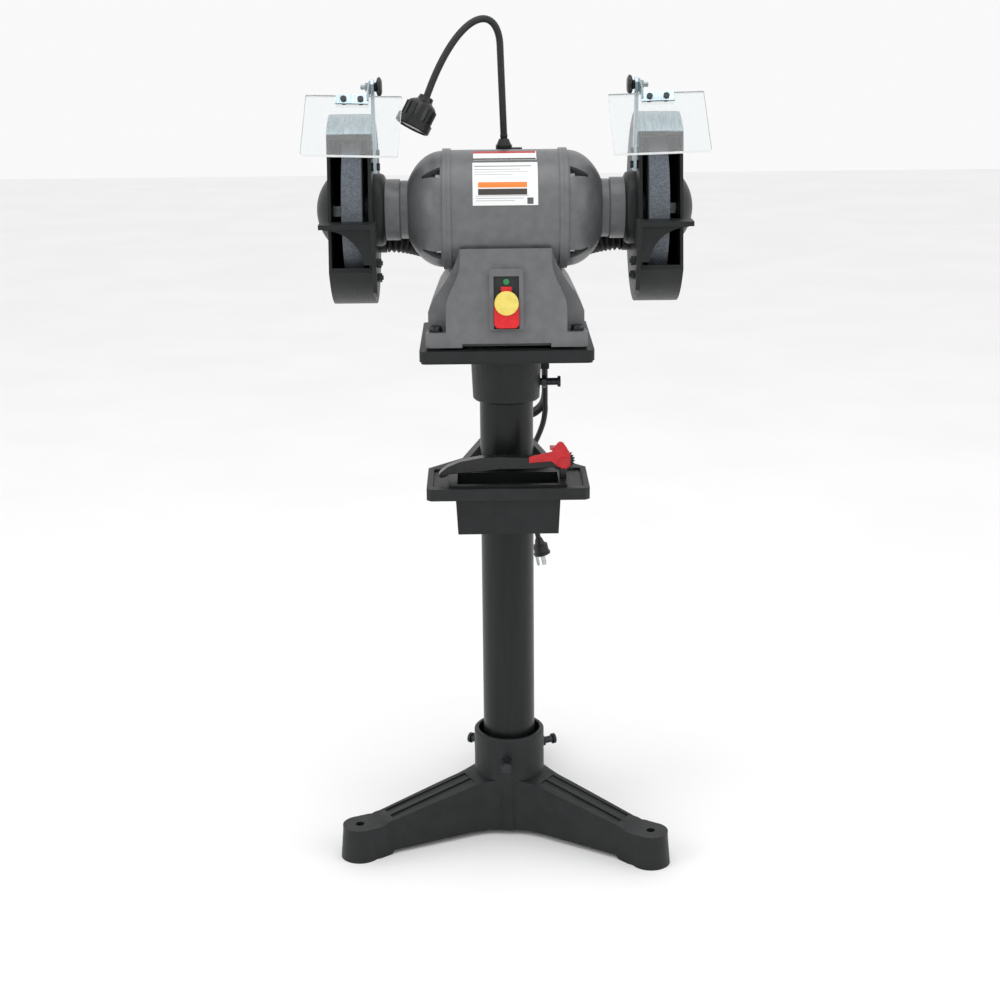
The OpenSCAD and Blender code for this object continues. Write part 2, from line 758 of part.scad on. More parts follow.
// Yellow disc on the paddle
module stop_disc() {
    color("#e6cf6c") on_panel() translate([0, -6, paddle_face]) cylinder(r = 15.7, h = 3.5);
}

// Run capacitor in the base
module capacitor() {
    color("#33353a") at_axle() translate([-46, 34, base_bottom + 22]) rotate([0, 90, 0]) {
        cylinder(r = 19, h = 84);
        for (s = [-1, 1]) translate([0, s * 7, 84]) cylinder(r = 2, h = 6);
    }
}

// ---------- Motor ----------

// Housing tube with a raised ring at each end and screw lugs inside
module motor_housing() {
    color(grey_paint) at_axle()
    difference() {
        rotate([0, 90, 0]) rotate_extrude() polygon([[0, -motor_half], [ring_r, -motor_half],
            [ring_r, ring_w - motor_half], [motor_r, ring_w - motor_half], [motor_r, motor_half - ring_w],
            [ring_r, motor_half - ring_w], [ring_r, motor_half], [0, motor_half]]);
        difference() {
            along_x(-motor_half - 1) cylinder(r = motor_r - motor_wall, h = 2 * motor_half + 2);
            for (s = [-1, 1], a = [45:90:315]) along_x(s > 0 ? motor_half - 14 : -motor_half - 2) rotate([0, 0, a])
                translate([screw_ring, 0, 0]) cylinder(r = 7, h = 16);
        }
        for (s = [-1, 1], a = [45:90:315]) along_x(s > 0 ? motor_half - 13 : -motor_half - 1) rotate([0, 0, a])
            translate([screw_ring, 0, 0]) cylinder(r = 3, h = 14);
    }
}

// Stator stack and its end windings
module stator() {
    color("#9a6a3c") at_axle() {
        along_x(-42) tube(motor_r - motor_wall, 43, 84);
        for (s = [-1, 1]) along_x(s > 0 ? 42 : -58) tube(62, 48, 16);
    }
}

// Rounded end bell, its arm and its bearing seat
module end_bell(right) {
    steps = 12;
    curve = [for (i = [0:steps])
        let (x = bell_start + (bell_end - bell_start) * sin(90 * i / steps))
        [bell_r * sqrt(1 - pow((x - bell_start) / bell_len, 2)), x]];
    inner = [for (i = [steps - 3:-1:0])
        let (x = bell_start + (bell_end - bell_start - 10) * sin(90 * i / steps))
        [(bell_r - 7) * sqrt(1 - pow((x - bell_start) / (bell_len - 6), 2)), x]];
    color(grey_paint) at_axle() on_side(right)
    difference() {
        union() {
            rotate([0, 90, 0]) rotate_extrude() polygon(concat(
                [[ring_r, motor_half], [ring_r, bell_start]], curve,
                [[arm_neck_r, bell_end + 9], [arm_neck_r - 1, bell_end + 10], [arm_r, bell_end + 11],
                    [arm_r, arm_end], [0, arm_end], [0, inner[0][1]]], inner, [[motor_r - motor_wall - 1, motor_half]]));
            for (a = [45:90:315]) along_x(motor_half) rotate([0, 0, a]) translate([screw_ring - 16, -9, 0])
                cube([16, 18, 26]);
        }
        along_x(bearing_x) cylinder(r = bearing_r, h = bearing_w);
        along_x(motor_half) cylinder(r = bearing_r, h = bearing_x - motor_half + 1);
        along_x(bearing_x) cylinder(r = 13, h = far);
        for (a = [45:90:315]) {
            along_x(motor_half + 8) rotate([0, 0, a]) translate([screw_ring - 6, 0, 0]) rotate([0, 90, 0])
                linear_extrude(height = 30) polygon([[0, -9], [0, 9], [-24, 2], [-24, -2]]);
            along_x(motor_half - 1) rotate([0, 0, a]) translate([screw_ring, 0, 0]) cylinder(r = 3 + slip, h = 20);
        }
        along_x(motor_half - 1) tube(far / 2, ring_r, 60);
    }
}
module end_bell_left() end_bell(false);
module end_bell_right() end_bell(true);

// Screws that hold the end bells
module housing_screws() {
    color("#9ba0a2") at_axle() for (right = [false, true]) on_side(right)
        for (a = [45:90:315]) along_x(motor_half - 12) rotate([0, 0, a]) translate([screw_ring, 0, 0]) {
            cylinder(r = 3, h = 22);
            translate([0, 0, 20]) cylinder(r = 5, h = 6, $fn = 6);
        }
}

// Ball bearings in the end bells
module bearings() {
    color("#b8bcbe") at_axle() for (right = [false, true]) on_side(right)
        along_x(bearing_x) tube(bearing_r, bearing_bore / 2 + running_gap, bearing_w);
}

// Shaft with bearing seats and an arbor at each end
module shaft() {
    color("#aeb3b5") at_axle() {
        along_x(slip - bearing_x) cylinder(r = bearing_bore / 2 + 2, h = 2 * (bearing_x - slip));
        along_x(-guard_in - 5) cylinder(r = bearing_bore / 2, h = 2 * (guard_in + 5));
        along_x(-guard_out - 15) cylinder(r = arbor_r, h = 2 * (guard_out + 15));
    }
}

// Rotor stack on the shaft
module rotor_core() {
    color("#8f9496") at_axle() along_x(-44) tube(42, bearing_bore / 2 + 2, 88);
}

// Grinding wheel
module wheel(right) {
    color("#6d7079") at_axle() on_side(right)
        along_x(wheel_plane - wheel_w / 2) tube(wheel_r, arbor_r, wheel_w);
}
module wheel_left() wheel(false);
module wheel_right() wheel(true);

// Flanges that clamp the wheels
module wheel_flanges() {
    color("#3b3d3f") at_axle() for (right = [false, true]) on_side(right) {
        along_x(wheel_plane + wheel_w / 2) tube(35, arbor_r, flange_t);
        along_x(wheel_plane - wheel_w / 2 - flange_t) tube(35, arbor_r, flange_t);
        along_x(guard_in + 5) tube(20, arbor_r, wheel_plane - wheel_w / 2 - flange_t - guard_in - 5 + eps);
    }
}

// Arbor nuts
module arbor_nuts() {
    color("#a3a8aa") at_axle() for (right = [false, true]) on_side(right)
        along_x(wheel_plane + wheel_w / 2 + flange_t) hex_nut(24, arbor_r, 11);
}

// ---------- Guards ----------

// Space in front of the guard's opening
module opening_cut() {
    rotate([-opening_mid, 0, 0]) translate([0, -opening_depth - far, -far / 2]) cube([far, far, far]);
}

// Guard body: inner wall, rim, boss and dust outlet
module guard(right) {
    color(black_paint) at_axle() on_side(right)
    difference() {
        union() {
            difference() {
                along_x(guard_in) cylinder(r = guard_r, h = guard_out - guard_in);
                along_x(guard_in + guard_wall) cylinder(r = guard_r - guard_wall, h = far);
                opening_cut();
            }
            rotate([0, 90, 0]) rotate_extrude() polygon([[0, guard_in - 14], [boss_r - 6, guard_in - 14],
                [boss_r - 2, guard_in - 12], [boss_r, guard_in - 8], [boss_r, guard_in + guard_wall],
                [0, guard_in + guard_wall]]);
            translate([0, dust_y, dust_z]) along_x(dust_x) cylinder(r = dust_d / 2, h = guard_in - dust_x + 1);
            // spacer behind the shield arm
            for (z = arm_bolts) translate([0, -58, z]) along_x(arm_strip_x + arm_strip_t)
                cylinder(r = 5.5, h = guard_in + 1 - arm_strip_x - arm_strip_t);
        }
        along_x(guard_in - 15) cylinder(r = arm_r, h = 4);
        along_x(guard_in - 15) cylinder(r = 28, h = 30);
        translate([0, dust_y, dust_z]) along_x(dust_x - 1) cylinder(r = dust_d / 2 - 3, h = 50);
        for (z = arm_bolts) translate([0, -58, z]) along_x(guard_in - 10) cylinder(r = 2.5, h = 20);
        for (b = rest_bolts) translate([0, b[0], b[1]]) along_x(guard_in - 1) cylinder(r = 3, h = 10);
        rotate([-arrester_bolt_a, 0, 0]) translate([0, -arrester_bolt_r, 0])
            along_x(guard_in - 1) cylinder(r = 2.5, h = 10);
    }
    color(black_paint) at_axle() on_side(right) guard_lugs();
}
module guard_left() guard(false);
module guard_right() guard(true);

// Lugs inside the rim that take the cover's screws
module guard_lugs() {
    for (a = cover_angles) rotate([-a, 0, 0]) translate([0, -guard_r + 9, 0])
        along_x(guard_out - 12) difference() {
            cylinder(r = 6, h = 12);
            translate([0, 0, -1]) cylinder(r = 2, h = 14);
        }
}

// Outer cover with its dome over the arbor nut
module guard_cover(right) {
    color(black_paint) at_axle() on_side(right)
    difference() {
        union() {
            difference() {
                along_x(guard_out) cylinder(r = guard_r, h = guard_wall);
                opening_cut();
            }
            intersection() {
                translate([dome_x, 0, 0]) sphere(r = dome_r, $fn = 96);
                along_x(guard_out) cylinder(r = dome_r, h = far);
            }
        }
        intersection() {
            translate([dome_x, 0, 0]) sphere(r = dome_r - 3, $fn = 96);
            along_x(guard_out - 1) cylinder(r = dome_r, h = far);
        }
        for (a = cover_angles) rotate([-a, 0, 0]) translate([0, -guard_r + 9, 0])
            along_x(guard_out - 1) cylinder(r = 2 + slip, h = 10);
    }
}
module guard_cover_left() guard_cover(false);
module guard_cover_right() guard_cover(true);

// Bolts of the covers, the shield arms, the arresters and the tool rests
module guard_bolts() {
    color("#aab0b2") at_axle() for (right = [false, true]) on_side(right) {
        for (a = cover_angles) rotate([-a, 0, 0]) translate([0, -guard_r + 9, 0]) {
            along_x(guard_out - 8) cylinder(r = 2, h = 9 + guard_wall);
            along_x(guard_out + guard_wall) cylinder(r = 4, h = 2.5);
        }
        for (z = arm_bolts) translate([0, -58, z]) {
            along_x(arm_strip_x - 1) cylinder(r = 2.5, h = guard_in + guard_wall + 1 - arm_strip_x);
            along_x(arm_strip_x - 4) cylinder(r = 4.6, h = 4, $fn = 6);
        }
        rotate([-arrester_bolt_a, 0, 0]) translate([0, -arrester_bolt_r, 0]) {
            along_x(guard_in - 4) cylinder(r = 2.5, h = 4 + guard_wall);
            along_x(guard_in - 6.2) cylinder(r = 4.6, h = 3, $fn = 6);
        }
        for (b = rest_bolts) translate([0, b[0], b[1]]) {
            along_x(rest_x - 7) cylinder(r = 3, h = guard_in + guard_wall + 7 - rest_x);
            along_x(rest_x - 5.3) cylinder(r = 6, h = 5, $fn = 6);
        }
    }
}

// ---------- Shields ----------

// Strips on the guards that carry the shields
module shield_arms() {
    color(zinc) at_axle() for (right = [false, true]) on_side(right)
        difference() {
            translate([arm_strip_x, 0, 0]) rotate([90, 0, 90]) linear_extrude(height = arm_strip_t)
                polygon([[-66, 54], [-50, 54], [-50, 90], [-58, 130], [-61, knob_z + 4], [-65, knob_z + 9],
                    [-75, knob_z + 9], [-79, knob_z + 4], [-77, 130], [-66, 90]]);
            translate([0, knob_y, knob_z]) along_x(arm_strip_x - 1) cylinder(r = knob_pin_r + running_gap, h = 10);
            for (z = arm_bolts) translate([0, -58, z]) along_x(arm_strip_x - 1) cylinder(r = 2.5, h = 10);
        }
}

// Places its children on the shield: X across, Y up the panel from its top edge, Z towards the front
module on_shield() {
    at_axle() translate([shield_x, shield_top_y, shield_top_z]) rotate([0, 0, shield_toe])
        rotate([90 - shield_lean, 0, 0]) rotate([0, 0, shield_roll]) children();
}

// Clear panel
module eye_shield(right) {
    color([0.85, 0.9, 0.92, 0.35]) on_side(right) on_shield() difference() {
        translate([0, -shield_h / 2, 0]) linear_extrude(height = shield_t) rounded_rect(shield_w, shield_h, 2);
        for (x = clamp_screws) translate([x, -6.5, -1]) cylinder(r = 2.2, h = shield_t + 2);
    }
}
module eye_shield_left() eye_shield(false);
module eye_shield_right() eye_shield(true);

// Point beside the shield: u down the panel from its top edge, n out of its front face
function shield_point(u, n) = [shield_top_y - u * sin(shield_lean) - n * cos(shield_lean),
    shield_top_z - u * cos(shield_lean) + n * sin(shield_lean)];

// Bracket plate with its screws, and the ear that goes back to the knob
module shield_bracket(right) {
    ear_x = guard_in - 2.2;
    ear_t = 2.2;
    ear_low = shield_t + 1.3;
    color(zinc) on_side(right) {
        on_shield() {
            translate([-19, -13, shield_t]) linear_extrude(height = 2) square([41, 13]);
            for (x = clamp_screws) translate([x, -6.5, 0]) {
                translate([0, 0, shield_t + 2]) cylinder(r = 3.8, h = 2);
                translate([0, 0, -4]) cylinder(r = 2.2, h = shield_t + 7);
                translate([0, 0, -3]) cylinder(r = 4, h = 3, $fn = 6);
            }
        }
        at_axle() difference() {
            translate([ear_x, 0, 0]) rotate([90, 0, 90]) linear_extrude(height = ear_t)
                polygon([[knob_y + 6, knob_z - 5], [knob_y + 6, knob_z + 5], [knob_y, knob_z + 8],
                    shield_point(-3, 11), shield_point(10, 9), shield_point(10, ear_low),
                    shield_point(-0.8, ear_low), shield_point(-0.8, -1), [knob_y, knob_z - 8]]);
            translate([0, knob_y, knob_z]) along_x(ear_x - 1) cylinder(r = knob_pin_r + 0.1, h = 10);
        }
    }
}
module shield_bracket_left() shield_bracket(false);
module shield_bracket_right() shield_bracket(true);

// Clamp knob with its screw through the arm and the bracket
module shield_knob(right) {
    color("#232425") at_axle() on_side(right) translate([0, knob_y, knob_z]) {
        along_x(arm_strip_x - 10) rotate_extrude() polygon([[0, 0], [8, 0], [12, 2], [12.5, 4], [11, 6],
            [6, 7.5], [5.5, 9.8], [0, 9.8]]);
        along_x(arm_strip_x - 1) cylinder(r = knob_pin_r, h = 18);
        along_x(guard_in + 0.6) cylinder(r = 5.5, h = 4, $fn = 6);
    }
}
module shield_knob_left() shield_knob(false);
module shield_knob_right() shield_knob(true);

// Spark arrester: a curved plate over the rim with a slotted side flange
module spark_arrester(right) {
    inner = guard_r + arrester_gap;
    flange_x = guard_in - arrester_gap - arrester_t;
    slot_half = 2.5 + slip;
    color(zinc) at_axle() on_side(right)
    difference() {
        union() {
            difference() {
                along_x(flange_x) tube(inner + arrester_t, inner, guard_out + guard_wall - flange_x);
                arrester_trim();
            }
            difference() {
                along_x(flange_x) tube(inner + arrester_t, guard_r - 19, arrester_t);
                arrester_trim();
            }
        }
        along_x(flange_x - 1) {
            for (a = [0, arrester_travel]) rotate([0, 0, 270 - arrester_bolt_a - a])
                translate([arrester_bolt_r, 0, 0]) cylinder(r = slot_half, h = 4);
            rotate([0, 0, 270 - arrester_bolt_a - arrester_travel]) rotate_extrude(angle = arrester_travel)
                translate([arrester_bolt_r - slot_half, 0]) square([2 * slot_half, 4]);
        }
    }
}

// Everything outside the arrester's arc
module arrester_trim() {
    rotate([-opening_high, 0, 0]) translate([-far / 2, -far, -far]) cube([far, 2 * far, far]);
    rotate([-arrester_high, 0, 0]) translate([-far / 2, -far, 0]) cube([far, 2 * far, far]);
}
module spark_arrester_left() spark_arrester(false);
module spark_arrester_right() spark_arrester(true);

// Tool rest: table, curved web and slotted side flange
module tool_rest(right) {
    side_back = rest_bolts[1][0] + rest_travel + 8;
    web_r = 46;
    color(black_paint) at_axle() on_side(right)
    difference() {
        union() {
            translate([rest_x, rest_front, rest_top - rest_t]) cube([rest_out - rest_x, rest_back - rest_front, rest_t]);
            translate([rest_x, 0, 0]) rotate([90, 0, 90]) linear_extrude(height = rest_side_t)
                polygon([[rest_front, rest_top], [rest_back, rest_top], [rest_back + 2, -44], [side_back, -52],
                    [side_back, -88], [rest_back + 8, -100], [rest_back - 8, -92], [rest_front, rest_top - 14]]);
            difference() {
                translate([rest_x, rest_front + 9, rest_top - rest_t - web_r]) cube([rest_out - rest_x - 6, 5, web_r + 1]);
                translate([rest_out - 6, rest_front, rest_top - rest_t - web_r - 6]) rotate([-90, 0, 0])
                    cylinder(r = web_r + 4, h = 40);
            }
        }
        for (b = rest_bolts) {
            translate([0, b[0], b[1]]) along_x(rest_x - 1) cylinder(r = 3 + slip, h = 10);
            translate([0, b[0] + rest_travel, b[1]]) along_x(rest_x - 1) cylinder(r = 3 + slip, h = 10);
            translate([rest_x - 1, b[0], b[1] - 3 - slip]) cube([10, rest_travel, 6 + 2 * slip]);
        }
    }
}
module tool_rest_left() tool_rest(false);
module tool_rest_right() tool_rest(true);

// ---------- Dust collection ----------

// Middle line of the right hose, from the guard to the manifold
function hose_line(t) = bezier([[dust_x - hose_lead, dust_y, dust_z], [dust_x - 60, dust_y + 2, dust_z],
    [manifold_half + 42, manifold_y, manifold_z], [manifold_half + hose_lead, manifold_y, manifold_z]], t);

// Ribbed hoses behind the motor
module dust_hoses() {
    rings = 28;
    line = concat([[dust_x, dust_y, dust_z]], [for (i = [0:rings]) hose_line(i / rings)],
        [[manifold_half, manifold_y, manifold_z]]);
    radii = [for (i = [0:rings + 2]) dust_d / 2 - (i % 2) * 3];
    color(rubber_black) at_axle() for (right = [false, true]) on_side(right)
        hollow_sweep(line, radii, dust_d / 2 - 5, [0, 0, 1], 12);
}

// Manifold that joins both hoses, with the dust port at the back
module dust_manifold() {
    color(black_paint) at_axle() translate([0, manifold_y, manifold_z])
    difference() {
        union() {
            along_x(-manifold_half) cylinder(r = dust_d / 2 + 1.5, h = 2 * manifold_half);
            rotate([-90, 0, 0]) cylinder(r = port_d / 2 + 3, h = dust_d / 2 + 5);
            rotate([-90, 0, 0]) cylinder(r = port_d / 2, h = dust_d / 2 + 5 + port_len);
        }
        along_x(-manifold_half - 1) cylinder(r = dust_d / 2 - 2, h = 2 * manifold_half + 2);
        rotate([-90, 0, 0]) cylinder(r = port_d / 2 - 3, h = dust_d / 2 + 6 + port_len);
    }
}

// ---------- Lamp ----------

// Lamp base on the motor, with the ball of the lower joint
module lamp_base() {
    color("#2b2d2f") at_axle()
    difference() {
        union() {
            translate([0, lamp_y, 0]) cylinder(r = 11, h = 80);
            translate([0, lamp_y, 80]) cylinder(r1 = 10, r2 = 6.5, h = 8);
            translate([0, lamp_y, 88]) cylinder(r = neck_tube_r, h = lamp_pivot_z - 88);
            translate([0, lamp_y, lamp_pivot_z]) sphere(r = ball_r);
            translate([8, lamp_y - 6, 0]) cube([16, 12, 76.5]);
        }
        along_x(-far / 2) cylinder(r = motor_r, h = far);
        translate([0, lamp_y, lamp_pivot_z]) ball_bore(0);
    }
}

// Hole for the pin of a ball, across the neck
module ball_bore(turn) {
    rotate([90, 0, turn]) cylinder(r = ball_bore_r, h = 4 * ball_r, center = true);
}

// Lower neck, hollowed round the ball below it, with a ball at its top
module gooseneck_lower() {
    color("#1f2022") at_axle() difference() {
        union() {
            translate([0, lamp_y, lamp_pivot_z]) lamp_aim() cylinder(r = neck_tube_r, h = lamp_len);
            translate(crown_point) sphere(r = ball_r);
        }
        translate([0, lamp_y, lamp_pivot_z]) sphere(r = cup_r);
        translate(crown_point) ball_bore(head_turn);
    }
}

// Turns Z to the line from the lower ball to the crown
module lamp_aim() {
    rotate([0, acos(lamp_vec[2] / lamp_len), atan2(lamp_vec[1], lamp_vec[0])]) children();
}

// Middle line of the upper neck, in the plane of its arch
function arch_line(t) = bezier([[0, 0, 0], [0, 0, 62], [arch_reach * 0.56, 0, 54], [arch_reach, 0, arch_drop]], t);

// Upper neck: a short cupped stub, the arch and the ball for the head
module gooseneck_upper() {
    rings = 32;
    line = [for (i = [2:rings]) arch_line(i / rings)];
    color("#1f2022") at_axle() difference() {
        union() {
            translate(crown_point) {
                difference() {
                    cylinder(r = neck_tube_r, h = 12);
                    sphere(r = cup_r);
                }
                rotate([0, 0, head_turn]) sweep(line, [for (p = line) neck_tube_r + 0.12], [0, 1, 0], 16);
            }
            translate(head_point) sphere(r = ball_r);
        }
        translate(head_point) ball_bore(head_turn);
    }
}

// Places its children at the head's joint, Z along the head's axis
module at_head() {
    at_axle() translate(head_point) rotate([0, 0, head_turn]) rotate([0, head_tilt, 0]) children();
}

// Lamp head: ribbed barrel and bezel
module lamp_head() {
    color("#232527") at_head() difference() {
        union() {
            rotate_extrude() polygon([[0, -2], [9.5, -2], [10.5, 4], [17, 8], [19.5, 11], [19.5, 30],
                [lamp_d / 2, 31], [lamp_d / 2, 41], [lamp_d / 2 - 1.5, 42.5], [0, 42.5]]);
            for (k = [0:11]) rotate([0, 0, 30 * k + 15]) translate([19, -1.6, 12]) cube([2.2, 3.2, 18.6]);
        }
        sphere(r = cup_r);
        translate([0, 0, -9]) cylinder(r = neck_tube_r + 2.9, h = 9.5);
        translate([0, 0, 37]) cylinder(r = lamp_d / 2 - 3, h = 10);
        translate([0, 0, 20]) cylinder(r = 14, h = 20);
    }
}

// Lens in the bezel
module lamp_lens() {
    color([0.9, 0.95, 1, 0.5]) at_head() translate([0, 0, 38]) cylinder(r = lamp_d / 2 - 3, h = 3);
}

// ---------- Labels and cord ----------

// Rating plate and name plate, curved on the housing
module data_plates() {
    color("#e9ebea") at_axle() {
        curved_plate(84, 10, 56, 1);
        curved_plate(82, 60, 76, 2);
    }
}

// Plate of width w bent round the housing, from angle low to angle high above the front
module curved_plate(w, low, high, t) {
    difference() {
        along_x(-w / 2) tube(motor_r + t, motor_r, w);
        rotate([-low, 0, 0]) translate([-far / 2, -far, -far]) cube([far, 2 * far, far]);
        rotate([-high, 0, 0]) translate([-far / 2, -far, 0]) cube([far, 2 * far, far]);
    }
}

// Strain relief where the cord leaves the base
module cord_gland() {
    color(rubber_black) translate([gland_x, 0, gland_z]) rotate([-90, 0, 0]) rotate_extrude() polygon([
        [0, gland_y - 10], [7, gland_y - 10], [7, gland_y], [9.5, gland_y], [9.5, gland_y + 4], [8, gland_y + 5],
        [cord_r + 1.2, gland_tip], [0, gland_tip]]);
}

// Cord from the gland to the hank, and from the hank to the plug
module power_cord() {
    color(rubber_black) {
        sweep(cord_drop, [for (p = cord_drop) cord_r], [1, 0, 0], 12);
        sweep(cord_tail, [for (p = cord_tail) cord_r], [1, 0, 0], 12);
    }
}

// Outer shape of the tied hank
module cord_hank() {
    color(rubber_black) translate([hank_x, hank_y + hank_t / 2, 0]) rotate([90, 0, 0]) linear_extrude(height = hank_t) {
        translate([0, hank_low + hank_w / 2]) circle(d = hank_w);
        translate([0, hank_high - hank_w / 2]) circle(d = hank_w);
        translate([-hank_w / 2, hank_low + hank_w / 2]) square([hank_w, hank_high - hank_low - hank_w]);
    }
}

// Tie round the middle of the hank
module cord_tie() {
    z = (hank_low + hank_high) / 2;
    color("#303234") translate([hank_x, hank_y, z]) difference() {
        cube([hank_w + 4, hank_t + 4, 8], center = true);
        cube([hank_w, hank_t, 10], center = true);
    }
}

// Moulded plug with two flat blades and a round ground pin
module cord_plug() {
    end = cord_tail[len(cord_tail) - 1];
    tilt = acos(plug_dir[2] / norm(plug_dir));
    color(rubber_black) translate(end) rotate([0, tilt, 0]) {
        cylinder(r1 = cord_r + 1, r2 = 8, h = 10);
        translate([0, 0, 10]) cylinder(r = 11, h = 12);
        translate([0, 0, 22]) cylinder(r = 12.5, h = 4);
    }
    color("#c7b37a") translate(end) rotate([0, tilt, 0]) {
        for (s = [-1, 1]) translate([-3.2, s * 6.3 - 0.8, 25]) cube([6.4, 1.6, 16]);
        translate([9, 0, 25]) cylinder(r = 2.4, h = 17);
    }
}

stand_base();
column();
platform();
stand_bolts();
mount_bolts();
tool_tray();
grinder_base();
rubber_feet();
base_cover();
switch_plate();
switch_body();
capacitor();
motor_housing();
stator();
end_bell_left();
end_bell_right();
housing_screws();
bearings();
guard_left();
guard_right();
guard_cover_left();
guard_cover_right();
guard_bolts();
shield_arms();
dust_hoses();
dust_manifold();
lamp_base();
data_plates();
shaft();
rotor_core();
wheel_left();
wheel_right();
wheel_flanges();
arbor_nuts();
eye_shield_left();
eye_shield_right();
shield_bracket_left();
shield_bracket_right();
shield_knob_left();
shield_knob_right();
spark_arrester_left();
spark_arrester_right();
tool_rest_left();
tool_rest_right();
start_button();
stop_paddle();
stop_disc();
gooseneck_lower();
gooseneck_upper();
lamp_head();
lamp_lens();
water_pot();
dresser_handle();
dresser_hood();
dresser_cutters();
cord_gland();
power_cord();
cord_hank();
cord_tie();
cord_plug();
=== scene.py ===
import math

import bmesh
import bpy
from mathutils import Matrix, Vector


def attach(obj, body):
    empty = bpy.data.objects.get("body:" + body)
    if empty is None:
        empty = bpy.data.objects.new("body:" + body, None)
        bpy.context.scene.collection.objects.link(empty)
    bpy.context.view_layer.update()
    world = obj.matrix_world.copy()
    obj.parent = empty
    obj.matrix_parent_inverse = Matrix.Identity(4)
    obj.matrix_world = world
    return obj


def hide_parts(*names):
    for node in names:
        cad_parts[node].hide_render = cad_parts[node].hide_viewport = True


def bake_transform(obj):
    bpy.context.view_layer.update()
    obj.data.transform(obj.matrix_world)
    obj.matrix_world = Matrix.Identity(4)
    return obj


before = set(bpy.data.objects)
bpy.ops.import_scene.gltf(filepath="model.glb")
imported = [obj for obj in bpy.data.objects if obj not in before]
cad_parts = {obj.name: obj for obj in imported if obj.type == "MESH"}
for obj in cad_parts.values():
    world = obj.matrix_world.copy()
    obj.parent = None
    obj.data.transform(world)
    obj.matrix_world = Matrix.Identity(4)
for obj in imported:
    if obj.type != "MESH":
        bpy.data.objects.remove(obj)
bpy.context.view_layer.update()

bl_info = {
    "name": "Pedestal Bench Grinder",
    "version": (1, 0, 0),
    "blender": (4, 5, 0),
    "location": "3D View > Sidebar > Grinder",
    "description": "Builds the looks of a bench grinder on its cast pedestal",
    "category": "Object",
}

# Lengths are in metres, unless a comment says millimetres
MM = 0.001
MERGE = 0.00001  # vertices closer than this are one
AXLE = 0.893  # height of the wheel axle
SIDES = {"left": -1, "right": 1}

WHEEL_PLANE = 0.196  # each wheel's centre plane from the middle
WHEEL_RADIUS = 0.1015
WHEEL_HALF = 0.0127  # half the wheel's width
WHEEL_BORE = 0.00794  # radius of the bore
WHEEL_EASE = 0.0012  # easing of the wheel's corners
FLANGE_RADIUS = 0.04  # where the flange's seat ends on the wheel's face
WHEEL_STEPS = 128

# The right shield's own frame: X across, Y up the panel from its top edge, Z out of its front
SHIELD_PLACE = (Matrix.Translation((0.187, -0.110, AXLE + 0.152)) @ Matrix.Rotation(math.radians(3), 4, "Z")
                @ Matrix.Rotation(math.radians(52), 4, "X") @ Matrix.Rotation(math.radians(1.5), 4, "Z"))
CLAMP_SCREWS = (-0.009, 0.012)  # across the panel
CLAMP_SCREW_DROP = 0.0065  # from the panel's top edge down to the screws
CLAMP_SCREW_REACH = 0.0042  # radius that takes in a screw's head
CLAMP_SHEET = (0.0052, 0.0071)  # depth that the clamp's own sheet takes up between heads and nuts
KNOB_PIN = WHEEL_PLANE - 0.0314  # where the knob's plastic ends and its steel pin begins

# Right hose: cubic control points from the guard to the manifold, heights over the axle
HOSE_CONTROLS = [
    (0.160, 0.070, -0.042), (0.101, 0.072, -0.042), (0.086, 0.126, -0.074), (0.045, 0.126, -0.074),
]
HOSE_RIBS = 22
HOSE_WAVE = (0.0236, 0.0249, 0.0236, 0.0212)  # radii of the rings of one rib
HOSE_SIDES = 40

LAMP_FOOT = Vector((0, 0.035, AXLE + 0.092))
LAMP_STEM = 0.112  # height of the straight lower neck
LAMP_LEAN = math.radians(2)
LAMP_CROWN = Vector((-LAMP_STEM * math.sin(LAMP_LEAN), 0.033, LAMP_FOOT.z + LAMP_STEM * math.cos(LAMP_LEAN)))
LAMP_HEAD = Vector((-0.101, -0.008, AXLE + 0.144))
ARCH_RISE = 0.062  # height over the crown of the arch's second control point
ARCH_CREST = 0.054  # and of its third, which stands this share of the way to the head
ARCH_SHARE = 0.56
NECK_SIDES = 20
NECK_WAVE = (1.0, 0.985, 0.9)  # shares of the radius that make one coil

WORLD_STRENGTH = 0.95
SOFTBOXES = [  # name, place, what it faces, side, power in watts
    ("overhead softbox", (0.0, -0.5, 3.2), (0, 0, 0.7), 1.8, 20),
    ("left softbox", (-2.4, -1.6, 2.0), (0, 0, 0.8), 1.3, 14),
    ("right softbox", (2.4, -1.4, 1.8), (0, 0, 0.8), 1.3, 10),
]
CAMERA_PLACE = (-0.0304, -2.334, 1.1815)
CAMERA_TURN = (16.5, 0.55, 0.5)  # degrees of pitch, roll and yaw
CAMERA_LENS = 63  # mm, on a sensor 36 mm wide
CAMERA_SENSOR = 36

RELIEF_FOOT = 0.089  # how far behind the axle the strain relief's collar starts
RELIEF_TIP = 0.117
PLUG_ALONG = Vector((0.22, 0, -0.98)).normalized()
PLUG_BODY = 0.0262  # from the lead's end to where the blades begin

